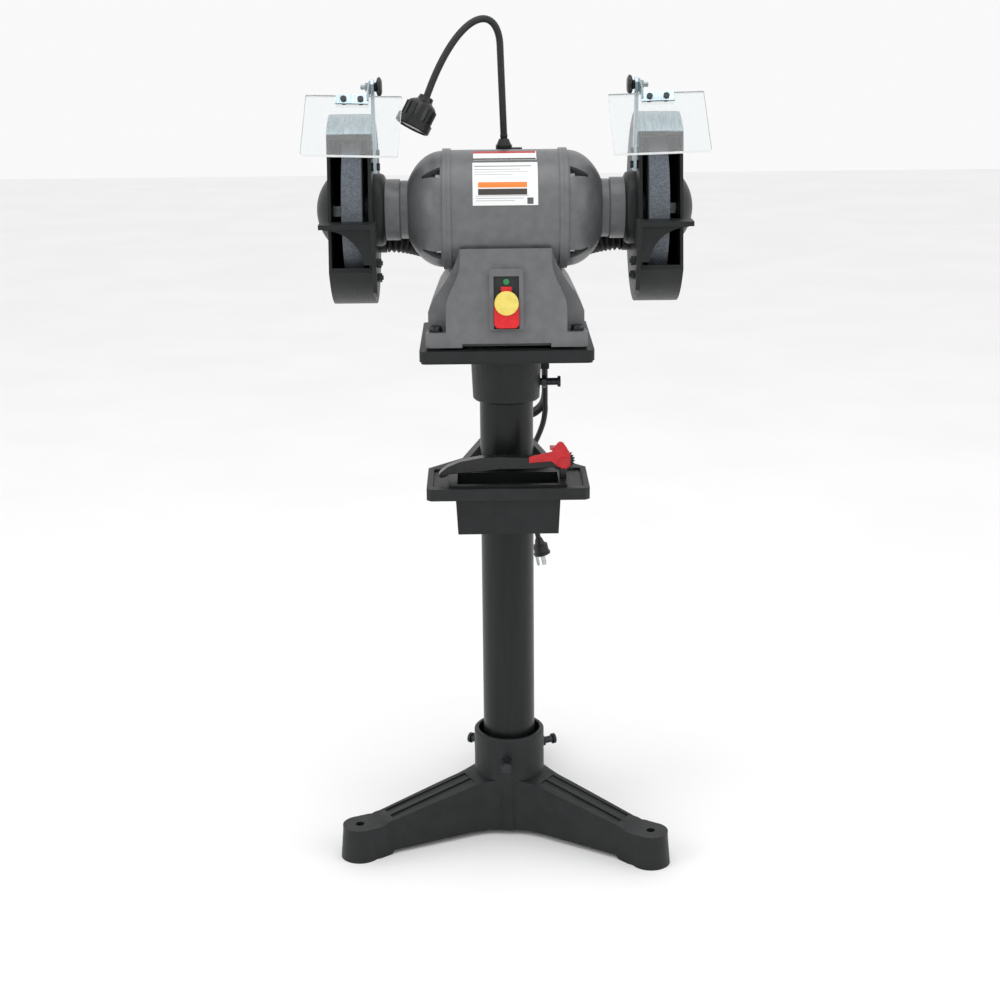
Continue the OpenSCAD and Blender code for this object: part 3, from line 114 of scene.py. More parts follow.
# The lead's route in metres, from the strain relief to the hank and from the hank to the plug
LEAD_DROP = [
    (0.054, 0.117, 0.767), (0.054, 0.124, 0.766), (0.054, 0.130, 0.764), (0.055, 0.136, 0.760),
    (0.056, 0.141, 0.755), (0.056, 0.145, 0.749), (0.057, 0.148, 0.741), (0.057, 0.149, 0.733),
    (0.057, 0.149, 0.722), (0.057, 0.149, 0.710),
]
LEAD_TAIL = [
    (0.057, 0.117, 0.600), (0.057, 0.117, 0.588), (0.054, 0.118, 0.570), (0.047, 0.121, 0.550),
    (0.038, 0.125, 0.530), (0.031, 0.130, 0.508), (0.027, 0.135, 0.486), (0.027, 0.140, 0.464),
    (0.030, 0.145, 0.446), (0.035, 0.148, 0.430), (0.040, 0.150, 0.416), (0.044, 0.150, 0.404),
    (0.046, 0.150, 0.395), (0.048, 0.150, 0.386),
]
HANK_X = 0.029
HANK_HALF = 0.028  # half the width between the hank's runs
HANK_TOP = 0.703  # where the runs meet the upper folds
HANK_LOW = 0.607  # where the runs meet the lower folds
HANK_BACK = 0.149
HANK_TURNS = 4
HANK_RUN = (HANK_TOP - 0.012, 0.675, 0.645, 0.622)  # heights of the points on a straight run
HANK_EXIT = (0.68, 0.655, 0.63, 0.615)  # and on the last run, down to the tail
LEAD_SIDES = 14


# ---------- Shape helpers ----------

def link(name, bm, materials, body, replaced=(), angle=35):
    """Turns a bmesh into a finished piece that rides on a CAD body."""
    mesh = bpy.data.meshes.new(name)
    bm.to_mesh(mesh)
    bm.free()
    for finish in materials:
        mesh.materials.append(finish)
    mesh.polygons.foreach_set("use_smooth", [True] * len(mesh.polygons))
    mesh.set_sharp_from_angle(angle=math.radians(angle))
    piece = bpy.data.objects.new(name, mesh)
    bpy.context.scene.collection.objects.link(piece)
    if body:
        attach(piece, body)
    if replaced:
        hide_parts(*replaced)
    return piece


def rounded(piece, width, segments=2, angle=40):
    """Rounds a piece's edges as a casting's or a moulding's are."""
    bevel = piece.modifiers.new("rounding", "BEVEL")
    bevel.width = width
    bevel.segments = segments
    bevel.limit_method = "ANGLE"
    bevel.angle_limit = math.radians(angle)
    bevel.use_clamp_overlap = True
    bevel.harden_normals = True
    return piece


def node_shape(node):
    """A merged copy of a CAD node's mesh, with its flat faces whole again."""
    bm = bmesh.new()
    bm.from_mesh(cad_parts[node].data)
    bmesh.ops.remove_doubles(bm, verts=bm.verts, dist=MERGE)
    bmesh.ops.dissolve_limit(bm, angle_limit=math.radians(0.4), verts=bm.verts, edges=bm.edges,
                             use_dissolve_boundaries=False)
    return bm


def dressed(node, name, body, finish, width=0.0, segments=2, angle=40):
    """A piece in a CAD node's place, with rounded edges."""
    piece = link(name, node_shape(node), [finish], body, (node,))
    return rounded(piece, width, segments, angle) if width else piece


def spun(profile, steps, turn, closed=False):
    """A solid of revolution: profile points (radius, height) about Z, placed by turn."""
    bm = bmesh.new()
    verts = [bm.verts.new((r, 0, z)) for r, z in profile]
    edges = [bm.edges.new(pair) for pair in zip(verts, verts[1:])]
    if closed:
        edges.append(bm.edges.new((verts[-1], verts[0])))
    bmesh.ops.spin(bm, geom=verts + edges, cent=(0, 0, 0), axis=(0, 0, 1), dvec=(0, 0, 0),
                   angle=math.tau, steps=steps, use_merge=True, use_duplicate=False)
    bmesh.ops.remove_doubles(bm, verts=bm.verts, dist=MERGE)
    bmesh.ops.recalc_face_normals(bm, faces=bm.faces)
    bmesh.ops.transform(bm, matrix=turn, verts=bm.verts)
    return bm


def headings(path):
    """One turning matrix for each point of a path, carried along it without twist."""
    points = [Vector(p) for p in path]
    turns = []
    turn = Matrix.Identity(3)
    heading = Vector((0, 0, 1))
    for i in range(len(points)):
        step = (points[min(i + 1, len(points) - 1)] - points[max(i - 1, 0)]).normalized()
        turn = heading.rotation_difference(step).to_matrix() @ turn
        heading = step
        turns.append(turn.to_4x4())
    return points, turns


def swept(path, radii, sides):
    """A tube along a path: one circle, extruded and turned from point to point."""
    points, turns = headings(path)
    bm = bmesh.new()
    ring = bmesh.ops.create_circle(bm, segments=sides, radius=1.0, cap_ends=False)["verts"]
    edges = list(bm.edges)
    place = Matrix.Translation(points[0]) @ turns[0] @ Matrix.Scale(radii[0], 4)
    bmesh.ops.transform(bm, matrix=place, verts=ring)
    first = edges
    for point, turn, radius in zip(points[1:], turns[1:], radii[1:]):
        moved = Matrix.Translation(point) @ turn @ Matrix.Scale(radius, 4)
        made = bmesh.ops.extrude_edge_only(bm, edges=edges)["geom"]
        ring = [g for g in made if isinstance(g, bmesh.types.BMVert)]
        edges = [g for g in made if isinstance(g, bmesh.types.BMEdge)]
        bmesh.ops.transform(bm, matrix=moved @ place.inverted(), verts=ring)
        place = moved
    bmesh.ops.edgeloop_fill(bm, edges=first)
    bmesh.ops.edgeloop_fill(bm, edges=edges)
    bmesh.ops.recalc_face_normals(bm, faces=bm.faces)
    return bm


def cubic(points, t):
    """Point at t on the cubic curve through four control points."""
    a, b, c, d = (Vector(p) for p in points)
    s = 1 - t
    return a * s ** 3 + b * (3 * s * s * t) + c * (3 * s * t * t) + d * t ** 3


def smooth_route(points, gap):
    """Points about gap apart on one smooth curve through the given points."""
    route = []
    pts = [Vector(p) for p in points]
    for i in range(len(pts) - 1):
        before = pts[max(i - 1, 0)]
        after = pts[min(i + 2, len(pts) - 1)]
        start, end = pts[i], pts[i + 1]
        steps = max(1, round((end - start).length / gap))
        controls = (start, start + (end - before) / 6, end - (after - start) / 6, end)
        route += [cubic(controls, k / steps) for k in range(steps)]
    return route + [pts[-1]]


def onto_x(x):
    """Lays a Z axis along +X at the axle's height, x from the middle."""
    return Matrix.Translation((x, 0, AXLE)) @ Matrix.Rotation(math.pi / 2, 4, "Y")


# ---------- Finishes ----------

def linear(code):
    """An sRGB hex colour as linear RGBA."""
    values = [int(code[i:i + 2], 16) / 255 for i in (1, 3, 5)]
    return tuple(v / 12.92 if v <= 0.04045 else ((v + 0.055) / 1.055) ** 2.4 for v in values) + (1.0,)


def add(tree, kind, settings=None, links=None):
    """Adds a node with its settings and links."""
    made = tree.nodes.new(kind)
    for key, value in (settings or {}).items():
        if isinstance(key, int) or key in made.inputs:
            made.inputs[key].default_value = value
        else:
            setattr(made, key, value)
    for key, source in (links or {}).items():
        tree.links.new(source, made.inputs[key])
    return made


def shader(name, colour, roughness, **sockets):
    """A material with its principled shader set, ready for its patterns."""
    made = bpy.data.materials.new(name)
    made.use_nodes = True
    tree = made.node_tree
    surface = tree.nodes["Principled BSDF"]
    surface.inputs["Base Color"].default_value = linear(colour)
    surface.inputs["Roughness"].default_value = roughness
    for key, value in sockets.items():
        surface.inputs[key.replace("_", " ")].default_value = value
    made.diffuse_color = linear(colour)
    return made, tree, surface, add(tree, "ShaderNodeTexCoord").outputs["Object"]


def mottled(tree, surface, where, light, dark, size_mm):
    """Drifts the colour between two shades over patches of a real size."""
    patches = add(tree, "ShaderNodeTexNoise", {"Scale": 1000 / size_mm, "Detail": 3.0}, {"Vector": where})
    spread = add(tree, "ShaderNodeMapRange", {"From Min": 0.35, "From Max": 0.65},
                 {"Value": patches.outputs["Fac"]})
    shade = add(tree, "ShaderNodeMix", {"data_type": "RGBA", 6: linear(dark), 7: linear(light)},
                {0: spread.outputs["Result"]})
    tree.links.new(shade.outputs[2], surface.inputs["Base Color"])


def grained(tree, surface, where, size_mm, depth_mm, detail=2.0, rough=None):
    """Raises a fine grain of a real size, and lets the gloss drift with it."""
    grain = add(tree, "ShaderNodeTexNoise", {"Scale": 1000 / size_mm, "Detail": detail}, {"Vector": where})
    bump = add(tree, "ShaderNodeBump", {"Strength": 1.0, "Distance": depth_mm * MM},
               {"Height": grain.outputs["Fac"]})
    tree.links.new(bump.outputs["Normal"], surface.inputs["Normal"])
    if rough:
        drift = add(tree, "ShaderNodeMapRange",
                    {"From Min": 0.3, "From Max": 0.7, "To Min": rough[0], "To Max": rough[1]},
                    {"Value": grain.outputs["Fac"]})
        tree.links.new(drift.outputs["Result"], surface.inputs["Roughness"])


def grey_enamel(colour):
    # Baked grey enamel on cast iron: a satin skin with a faint orange peel 3 mm across
    made, tree, surface, where = shader("grey enamel", colour, 0.36, IOR=1.5)
    mottled(tree, surface, where, colour, "#606163", 14)
    grained(tree, surface, where, 3.0, 0.05, rough=(0.32, 0.42))
    return made


def black_enamel(colour):
    # Black satin enamel on sheet and castings: soft grey highlights broken by a fine peel
    made, tree, surface, where = shader("black satin enamel", colour, 0.42, IOR=1.5, Specular_IOR_Level=0.3)
    mottled(tree, surface, where, "#1c1e1f", "#151718", 30)
    grained(tree, surface, where, 2.6, 0.06, rough=(0.36, 0.5))
    return made


def sand_cast_enamel():
    # Black enamel over sand-cast iron: the mould's grain shows through as 2.5 mm pits
    made, tree, surface, where = shader("enamelled sand-cast iron", "#17191a", 0.45, IOR=1.5,
                                        Specular_IOR_Level=0.35)
    mottled(tree, surface, where, "#1a1d1e", "#131516", 22)
    grained(tree, surface, where, 2.5, 0.22, detail=4.0, rough=(0.4, 0.56))
    return made


def column_enamel():
    # Black enamel on drawn steel tube: smooth, with long faint runs down the tube
    made, tree, surface, where = shader("enamelled steel tube", "#121415", 0.36, IOR=1.5,
                                        Specular_IOR_Level=0.3)
    run = add(tree, "ShaderNodeMapping", {"Scale": (1.0, 1.0, 0.06)}, {"Vector": where})
    mottled(tree, surface, run.outputs["Vector"], "#151819", "#0e1011", 9)
    grained(tree, surface, where, 4.0, 0.03, rough=(0.3, 0.4))
    return made


def zinc_plate():
    # Bright zinc-plated steel strip: bluish, with rolling marks along the strip
    made, tree, surface, where = shader("bright zinc plate", "#a3b3b8", 0.3, Metallic=1.0)
    rolled = add(tree, "ShaderNodeMapping", {"Scale": (1.0, 0.08, 0.08)}, {"Vector": where})
    mottled(tree, surface, rolled.outputs["Vector"], "#abbabf", "#90a1a8", 2.2)
    grained(tree, surface, rolled.outputs["Vector"], 1.6, 0.02, rough=(0.22, 0.4))
    return made


def zinc_bolt():
    # Turned and zinc-plated bolts: duller than the strip, with a 1 mm mottle
    made, tree, surface, where = shader("zinc-plated bolt steel", "#9ba1a4", 0.34, Metallic=1.0)
    mottled(tree, surface, where, "#aab0b3", "#7f8689", 1.4)
    grained(tree, surface, where, 1.0, 0.02)
    return made


def blackened_bolt():
    # Black-oxide bolts: almost as dark as the paint, with brighter worn corners
    made, tree, surface, where = shader("black oxide steel", "#303336", 0.4, Metallic=0.7)
    mottled(tree, surface, where, "#3d4144", "#26292b", 2.0)
    grained(tree, surface, where, 1.2, 0.03)
    return made


def vitrified_grit():
    # Vitrified aluminium oxide wheel: 36 grit is 0.5 mm, drawn 1.4 mm across so that the grain shows
    made, tree, surface, where = shader("vitrified aluminium oxide", "#575c63", 0.85, IOR=1.6)
    grit = add(tree, "ShaderNodeTexVoronoi", {"Scale": 1000 / 1.4}, {"Vector": where})
    tone = add(tree, "ShaderNodeSeparateColor", None, {"Color": grit.outputs["Color"]})
    shade = add(tree, "ShaderNodeMix", {"data_type": "RGBA", 6: linear("#4a4f55"), 7: linear("#697078")},
                {0: tone.outputs["Red"]})
    tree.links.new(shade.outputs[2], surface.inputs["Base Color"])
    bump = add(tree, "ShaderNodeBump", {"Strength": 1.0, "Distance": 0.2 * MM, "invert": True},
               {"Height": grit.outputs["Distance"]})
    tree.links.new(bump.outputs["Normal"], surface.inputs["Normal"])
    return made


def clear_acrylic():
    # Cast acrylic sheet: clear, with fine wipe marks that only soften the gloss
    made, tree, surface, where = shader("clear cast acrylic", "#e6eaeb", 0.03, IOR=1.49,
                                        Transmission_Weight=1.0)
    wipe = add(tree, "ShaderNodeMapping", {"Scale": (0.2, 1.0, 1.0)}, {"Vector": where})
    marks = add(tree, "ShaderNodeTexNoise", {"Scale": 220.0, "Detail": 4.0},
                {"Vector": wipe.outputs["Vector"]})
    gloss = add(tree, "ShaderNodeMapRange",
                {"From Min": 0.45, "From Max": 0.75, "To Min": 0.02, "To Max": 0.1},
                {"Value": marks.outputs["Fac"]})
    tree.links.new(gloss.outputs["Result"], surface.inputs["Roughness"])
    return made


def sawn_acrylic():
    # The sheet's sawn edge scatters light, so it reads as a pale frosted line
    made, tree, surface, where = shader("sawn acrylic edge", "#f4f7f7", 0.5, IOR=1.49,
                                        Transmission_Weight=0.1)
    grained(tree, surface, where, 1.0, 0.05)
    return made


def lens_polycarbonate():
    # Smoked polycarbonate lens: with the lamp off, the reflector behind it reads almost black
    made, tree, surface, where = shader("smoked polycarbonate", "#3d4245", 0.12, IOR=1.58,
                                        Transmission_Weight=0.5)
    grained(tree, surface, where, 1.5, 0.05)
    return made


def moulded(name, colour, dark, roughness, size_mm=1.5, depth_mm=0.03):
    """Moulded plastic or rubber: a spark-eroded mould leaves a fine even grain."""
    made, tree, surface, where = shader(name, colour, roughness, IOR=1.46)
    mottled(tree, surface, where, colour, dark, 9)
    grained(tree, surface, where, size_mm, depth_mm, rough=(roughness - 0.06, roughness + 0.06))
    return made


def metal(name, colour, dark, roughness, size_mm=3.0):
    """Bare or plated metal with a turned or drawn surface."""
    made, tree, surface, where = shader(name, colour, roughness, Metallic=1.0)
    mottled(tree, surface, where, colour, dark, size_mm)
    grained(tree, surface, where, 1.0, 0.02)
    return made


def printed_plate(prints):
    # Screen-printed aluminium plate: a white ground with plain coloured bands and grey rules
    ground = "#e9ebea"
    made, tree, surface, where = shader("printed aluminium plate", ground, 0.3, IOR=1.5)
    axes = add(tree, "ShaderNodeSeparateXYZ", None, {"Vector": where})
    ink = None
    for x0, x1, z0, z1, colour in prints:
        inside = None
        for axis, low, high in (("X", x0, x1), ("Z", z0, z1)):
            centre = (low + high) / 2 * MM + (AXLE if axis == "Z" else 0)
            hit = add(tree, "ShaderNodeMath", {"operation": "COMPARE", 1: centre, 2: (high - low) / 2 * MM},
                      {0: axes.outputs[axis]})
            if inside:
                hit = add(tree, "ShaderNodeMath", {"operation": "MULTIPLY"},
                          {0: inside.outputs[0], 1: hit.outputs[0]})
            inside = hit
        layer = add(tree, "ShaderNodeMix", {"data_type": "RGBA", 6: linear(ground), 7: linear(colour)},
                    {0: inside.outputs[0]})
        if ink:
            tree.links.new(ink.outputs[2], layer.inputs[6])
        ink = layer
    tree.links.new(ink.outputs[2], surface.inputs["Base Color"])
    grained(tree, surface, where, 2.0, 0.01)
    return made


# Plain bands on the plates: x from, x to, height from, height to over the axle in mm, colour
PRINTS = [
    (-42, 40, 74.6, 77.5, "#b3262a"), (-42, 40, 68, 69.5, "#3a3c3f"),
    (-40, 34, 60, 61, "#5d6062"), (-40, 20, 56.5, 57.3, "#8d9092"), (-40, 30, 53.5, 54.3, "#a6a9ab"),
    (-40, 10, 50.5, 51.3, "#a6a9ab"), (-35, 28, 35.5, 42, "#e5802c"), (-35, 28, 26.5, 34, "#3b3733"),
    (-38, 30, 25, 25.8, "#a6a9ab"), (-38, 24, 22, 22.8, "#a6a9ab"), (28, 36, 15, 23, "#55585a"),
    (-38, 12, 19, 19.8, "#a6a9ab"),
]

FINISHES = {}


def finish(name):
    """One of the finishes, made when it is first asked for."""
    makers = {
        "grey": lambda: grey_enamel(hex_of(bpy.context.scene.grinder_paint.grey)),
        "black": lambda: black_enamel("#1d1f20"),
        "cast": sand_cast_enamel,
        "gloss": lambda: moulded("black gloss enamel", "#141616", "#0f1111", 0.24, 3.0, 0.08),
        "column": column_enamel,
        "zinc": zinc_plate,
        "bolt": zinc_bolt,
        "oxide": blackened_bolt,
        "grit": vitrified_grit,
        "acrylic": clear_acrylic,
        "edge": sawn_acrylic,
        "plates": lambda: printed_plate(PRINTS),
        "neoprene": lambda: moulded("neoprene hose", "#1d1e1f", "#151617", 0.55),
        "rubber": lambda: moulded("nitrile rubber", "#1a1b1c", "#121314", 0.6),
        "vinyl": lambda: moulded("vinyl cord jacket", "#1b1c1d", "#141516", 0.45),
        "phenolic": lambda: moulded("phenolic knob", "#1b1c1d", "#131415", 0.25),
        "switch plate": lambda: moulded("black polycarbonate", "#2a2c2e", "#222426", 0.4),
        "green": lambda: moulded("green ABS", "#2f9a58", "#268048", 0.3),
        "red": lambda: moulded("red ABS", "#dc1a22", "#c8141c", 0.3),
        "yellow": lambda: moulded("yellow ABS", "#e6d36c", "#dac65c", 0.4),
        "hood": lambda: moulded("red enamel", "#c81e26", "#ae1820", 0.34, 2.5, 0.05),
        "lamp": lambda: moulded("black anodised aluminium", "#18191a", "#111213", 0.36),
        "neck": lambda: moulded("vinyl-coated gooseneck", "#1c1d1e", "#141516", 0.42),
        "winding": lambda: metal("enamelled copper winding", "#a9642f", "#7d4520", 0.35, 2.0),
        "bearing": lambda: metal("ground bearing steel", "#b9bdbf", "#9a9fa2", 0.18),
        "shaft": lambda: metal("turned shaft steel", "#aeb3b5", "#8f9598", 0.25),
        "core": lambda: metal("silicon steel laminations", "#7f8587", "#666c6f", 0.4, 0.8),
        "cover": lambda: metal("galvanised sheet", "#8f979b", "#747d82", 0.45, 6.0),
        "flange": lambda: metal("blued flange steel", "#45494d", "#35393c", 0.4),
        "nickel": lambda: metal("nickel-plated contact", "#c3c6c7", "#a4a8aa", 0.25),
        "capacitor": lambda: moulded("capacitor can", "#2e3034", "#242629", 0.35),
        "lens": lens_polycarbonate,
        "tie": lambda: moulded("woven nylon tie", "#26282a", "#1a1b1c", 0.8, 1.6, 0.25),
    }
    if name not in FINISHES:
        FINISHES[name] = makers[name]()
    return FINISHES[name]


def hex_of(colour):
    """The sRGB hex code of a colour property."""
    values = [c * 12.92 if c <= 0.0031308 else 1.055 * c ** (1 / 2.4) - 0.055 for c in colour[:3]]
    return "#" + "".join(f"{round(max(0, min(1, v)) * 255):02x}" for v in values)


# ---------- Settings ----------

class GrinderPaint(bpy.types.PropertyGroup):
    grey: bpy.props.FloatVectorProperty(
        name="Machine grey", description="Enamel of the motor, its arms and the base",
        subtype="COLOR", size=3, min=0, max=1, default=linear("#68696b")[:3])
    edge_round: bpy.props.FloatProperty(
        name="Edge rounding", description="Radius of the castings' edges",
        subtype="DISTANCE", unit="LENGTH", default=0.0016, min=0.0002, max=0.004)


class GrinderLead(bpy.types.PropertyGroup):
    diameter: bpy.props.FloatProperty(
        name="Lead diameter", description="Outside diameter of the power lead",
        subtype="DISTANCE", unit="LENGTH", default=0.008, min=0.005, max=0.012)
    ring_gap: bpy.props.FloatProperty(
        name="Ring spacing", description="Distance between the lead's mesh rings",
        subtype="DISTANCE", unit="LENGTH", default=0.004, min=0.002, max=0.01)


class GrinderNeck(bpy.types.PropertyGroup):
    diameter: bpy.props.FloatProperty(
        name="Gooseneck diameter", description="Outside diameter of the lamp's flexible neck",
        subtype="DISTANCE", unit="LENGTH", default=0.0096, min=0.006, max=0.0105)
    pitch: bpy.props.FloatProperty(
        name="Gooseneck pitch", description="Distance between the neck's coils",
        subtype="DISTANCE", unit="LENGTH", default=0.0024, min=0.0015, max=0.005)


# ---------- Operators ----------

class GRINDER_OT_stage(bpy.types.Operator):
    """Floor, lights and camera"""
    bl_idname = "grinder.stage"
    bl_label = "Stage"

    def execute(self, context):
        bm = bmesh.new()
        bmesh.ops.create_grid(bm, x_segments=1, y_segments=1, size=9.0)
        floor = link("studio_floor", bm, [self.pale_floor()], None)
        world = bpy.data.worlds.new("studio")
        world.use_nodes = True
        background = world.node_tree.nodes["Background"]
        background.inputs["Color"].default_value = (1, 1, 1, 1)
        background.inputs["Strength"].default_value = WORLD_STRENGTH
        context.scene.world = world
        context.scene.view_settings.view_transform = "Standard"
        for box in SOFTBOXES:
            self.softbox(context, *box)
        self.camera(context)
        return {"FINISHED"}

    def pale_floor(self):
        # Seamless studio paper: almost white, with no visible fibre
        made, tree, surface, where = shader("studio paper", "#f4f4f4", 0.9)
        mottled(tree, surface, where, "#f6f6f6", "#f3f3f3", 400)
        return made

    def softbox(self, context, name, place, aim, size, power):
        """A square light of a size in metres and a power in watts, turned towards aim."""
        light = bpy.data.lights.new(name, "AREA")
        light.shape = "SQUARE"
        light.size = size
        light.energy = power
        holder = bpy.data.objects.new(name, light)
        holder.location = place
        holder.rotation_euler = (Vector(aim) - Vector(place)).to_track_quat("-Z", "Y").to_euler()
        context.scene.collection.objects.link(holder)

    def camera(self, context):
        """A camera in front of the grinder that looks slightly down."""
        pitch, roll, yaw = (math.radians(a) for a in CAMERA_TURN)
        ahead = Vector((math.sin(yaw) * math.cos(pitch), math.cos(yaw) * math.cos(pitch), -math.sin(pitch)))
        across = Vector((math.cos(yaw), -math.sin(yaw), 0))
        above = across.cross(ahead)
        right = across * math.cos(roll) - above * math.sin(roll)
        up = across * math.sin(roll) + above * math.cos(roll)
        data = bpy.data.cameras.new("camera")
        data.lens = CAMERA_LENS
        data.sensor_width = CAMERA_SENSOR
        holder = bpy.data.objects.new("camera", data)
        turn = Matrix((right, up, -ahead)).transposed().to_4x4()
        holder.matrix_world = Matrix.Translation(CAMERA_PLACE) @ turn
        context.scene.collection.objects.link(holder)
        context.scene.camera = holder


class GRINDER_OT_lead(bpy.types.Operator):
    """Power lead in its hank, with its strain relief, tie and plug"""
    bl_idname = "grinder.lead"
    bl_label = "Power lead"

    def execute(self, context):
        sizes = context.scene.grinder_lead
        route = LEAD_DROP + self.hank(sizes.diameter) + LEAD_TAIL
        path = smooth_route(route, sizes.ring_gap)
        radius = sizes.diameter / 2
        bm = swept(path, [radius] * len(path), LEAD_SIDES)
        lead = link("power_lead", bm, [finish("vinyl")], "stand", ("power_cord", "cord_hank"))
        relief = self.strain_relief(radius)
        tie = dressed("cord_tie", "lead_tie", "stand", finish("tie"), 0.0018)
        plug = self.plug()
        return {"FINISHED"}

    def hank(self, diameter):
        """Points of the hank's folded turns, each a diameter in front of the last."""
        points = []
        fold = [k / 6 for k in range(7)]
        for turn in range(HANK_TURNS):
            y = HANK_BACK - turn * diameter
            points += [(HANK_X + HANK_HALF, y, z) for z in HANK_RUN]
            points += [(HANK_X + HANK_HALF * math.cos(math.pi * k), y,
                        HANK_LOW - HANK_HALF * math.sin(math.pi * k)) for k in fold]
            points += [(HANK_X - HANK_HALF, y, z) for z in reversed(HANK_RUN)]
            points += [(HANK_X - HANK_HALF * math.cos(math.pi * k), y - diameter * k,
                        HANK_TOP + HANK_HALF * math.sin(math.pi * k)) for k in fold]
        y = HANK_BACK - HANK_TURNS * diameter
        return points + [(HANK_X + HANK_HALF, y, z) for z in HANK_EXIT]

    def strain_relief(self, radius):
        """A tapered sleeve with five grooves."""
        low, tip = RELIEF_FOOT, RELIEF_TIP
        neck, collar, depth = 0.0068, 0.0094, 0.008
        profile = [(0.0, low - depth), (neck, low - depth), (neck, low), (collar, low), (collar, low + 0.004)]
        for k in range(5):
            at = low + 0.006 + k * 0.0044
            wide = 0.0078 - k * 0.0005
            groove = wide - 0.0012
            profile += [(wide, at), (wide, at + 0.0026), (groove, at + 0.003), (groove, at + 0.004)]
        profile += [(radius + 0.0011, tip - 0.001), (radius + 0.0002, tip), (0.0, tip)]
        x, _, z = LEAD_DROP[0]
        turn = Matrix.Translation((x, 0, z)) @ Matrix.Rotation(-math.pi / 2, 4, "X")
        bm = spun(profile, 32, turn)
        return link("lead_strain_relief", bm, [finish("rubber")], "stand", ("cord_gland",))

    def plug(self):
        """The moulded plug, with its blades in nickel plate."""
        plug = dressed("cord_plug", "lead_plug", "stand", finish("vinyl"), 0.0008)
        plug.data.materials.append(finish("nickel"))
        start = Vector(LEAD_TAIL[-1])
        for face in plug.data.polygons:
            if (face.center - start).dot(PLUG_ALONG) > PLUG_BODY:
                face.material_index = 1
        return plug


# Parts whose edges are rounded: node, piece, body, finish, slot, share of the rounding (0 leaves them sharp)
CASTINGS = [
    ("stand_base", "pedestal_base", "stand", "cast", "cast_black", 1.2),
    ("column", "pedestal_column", "stand", "column", "tube_black", 0.0),
    ("platform", "pedestal_platform", "stand", "cast", "cast_black", 0.9),
    ("tool_tray", "tool_tray_casting", "stand", "cast", "cast_black", 0.9),
    ("water_pot", "water_pot_shell", "pot", "black", "cast_black", 0.6),
    ("grinder_base", "machine_base", "stand", "grey", "cast_grey", 0.8),
    ("motor_housing", "motor_drum", "stand", "grey", "cast_grey", 0.5),
    ("end_bell_left", "end_bell_casting_left", "stand", "grey", "cast_grey", 0.6),
    ("end_bell_right", "end_bell_casting_right", "stand", "grey", "cast_grey", 0.6),
    ("guard_left", "wheel_guard_left", "stand", "black", "cast_black", 0.8),
    ("guard_right", "wheel_guard_right", "stand", "black", "cast_black", 0.8),
    ("guard_cover_left", "guard_cover_plate_left", "stand", "black", "cast_black", 0.8),
    ("guard_cover_right", "guard_cover_plate_right", "stand", "black", "cast_black", 0.8),
    ("dust_manifold", "dust_outlet_manifold", "stand", "black", "cast_black", 0.6),
    ("tool_rest_left", "tool_rest_casting_left", "rest_left", "black", "cast_black", 0.7),
    ("tool_rest_right", "tool_rest_casting_right", "rest_right", "black", "cast_black", 0.7),
    ("lamp_base", "lamp_foot", "stand", "lamp", "lamp_black", 0.5),
    ("rubber_feet", "machine_feet", "stand", "rubber", "rubber", 0.3),
]


class GRINDER_OT_castings(bpy.types.Operator):
    """Pedestal, machine base, motor, guards and tool rests"""
    bl_idname = "grinder.castings"
    bl_label = "Castings"

    def execute(self, context):
        rounding = context.scene.grinder_paint.edge_round
        for node, name, body, skin, slot, share in CASTINGS:
            dressed(node, name, body, finish(skin), rounding * share)
        return {"FINISHED"}


class GRINDER_OT_wheels(bpy.types.Operator):
    """Grinding wheels with their dressed faces and eased corners"""
    bl_idname = "grinder.wheels"
    bl_label = "Grinding wheels"

    def execute(self, context):
        radius, half, ease = WHEEL_RADIUS, WHEEL_HALF, WHEEL_EASE
        profile = [(WHEEL_BORE, -half), (FLANGE_RADIUS, -half), (radius - ease, -half),
                   (radius - ease * 0.3, -half + ease * 0.3), (radius, -half + ease),
                   (radius, half - ease), (radius - ease * 0.3, half - ease * 0.3),
                   (radius - ease, half), (FLANGE_RADIUS, half), (WHEEL_BORE, half)]
        for side, sign in SIDES.items():
            bm = spun(profile, WHEEL_STEPS, onto_x(sign * WHEEL_PLANE), closed=True)
            link(f"grinding_wheel_{side}", bm, [finish("grit")], "rotor", (f"wheel_{side}",))
        return {"FINISHED"}


class GRINDER_OT_hoses(bpy.types.Operator):
    """Ribbed dust hoses behind the motor"""
    bl_idname = "grinder.hoses"
    bl_label = "Dust hoses"

    def execute(self, context):
        per_rib = len(HOSE_WAVE)
        count = HOSE_RIBS * per_rib
        hoses = bmesh.new()
        for sign in SIDES.values():
            path = [cubic(HOSE_CONTROLS, i / count) + Vector((0, 0, AXLE)) for i in range(count + 1)]
            path = [Vector((sign * p.x, p.y, p.z)) for p in path]
            bm = swept(path, [HOSE_WAVE[i % per_rib] for i in range(count + 1)], HOSE_SIDES)
            made = bpy.data.meshes.new("hose")
            bm.to_mesh(made)
            bm.free()
            hoses.from_mesh(made)
            bpy.data.meshes.remove(made)
        link("dust_hose_pair", hoses, [finish("neoprene")], "stand", ("dust_hoses",), 70)
        return {"FINISHED"}


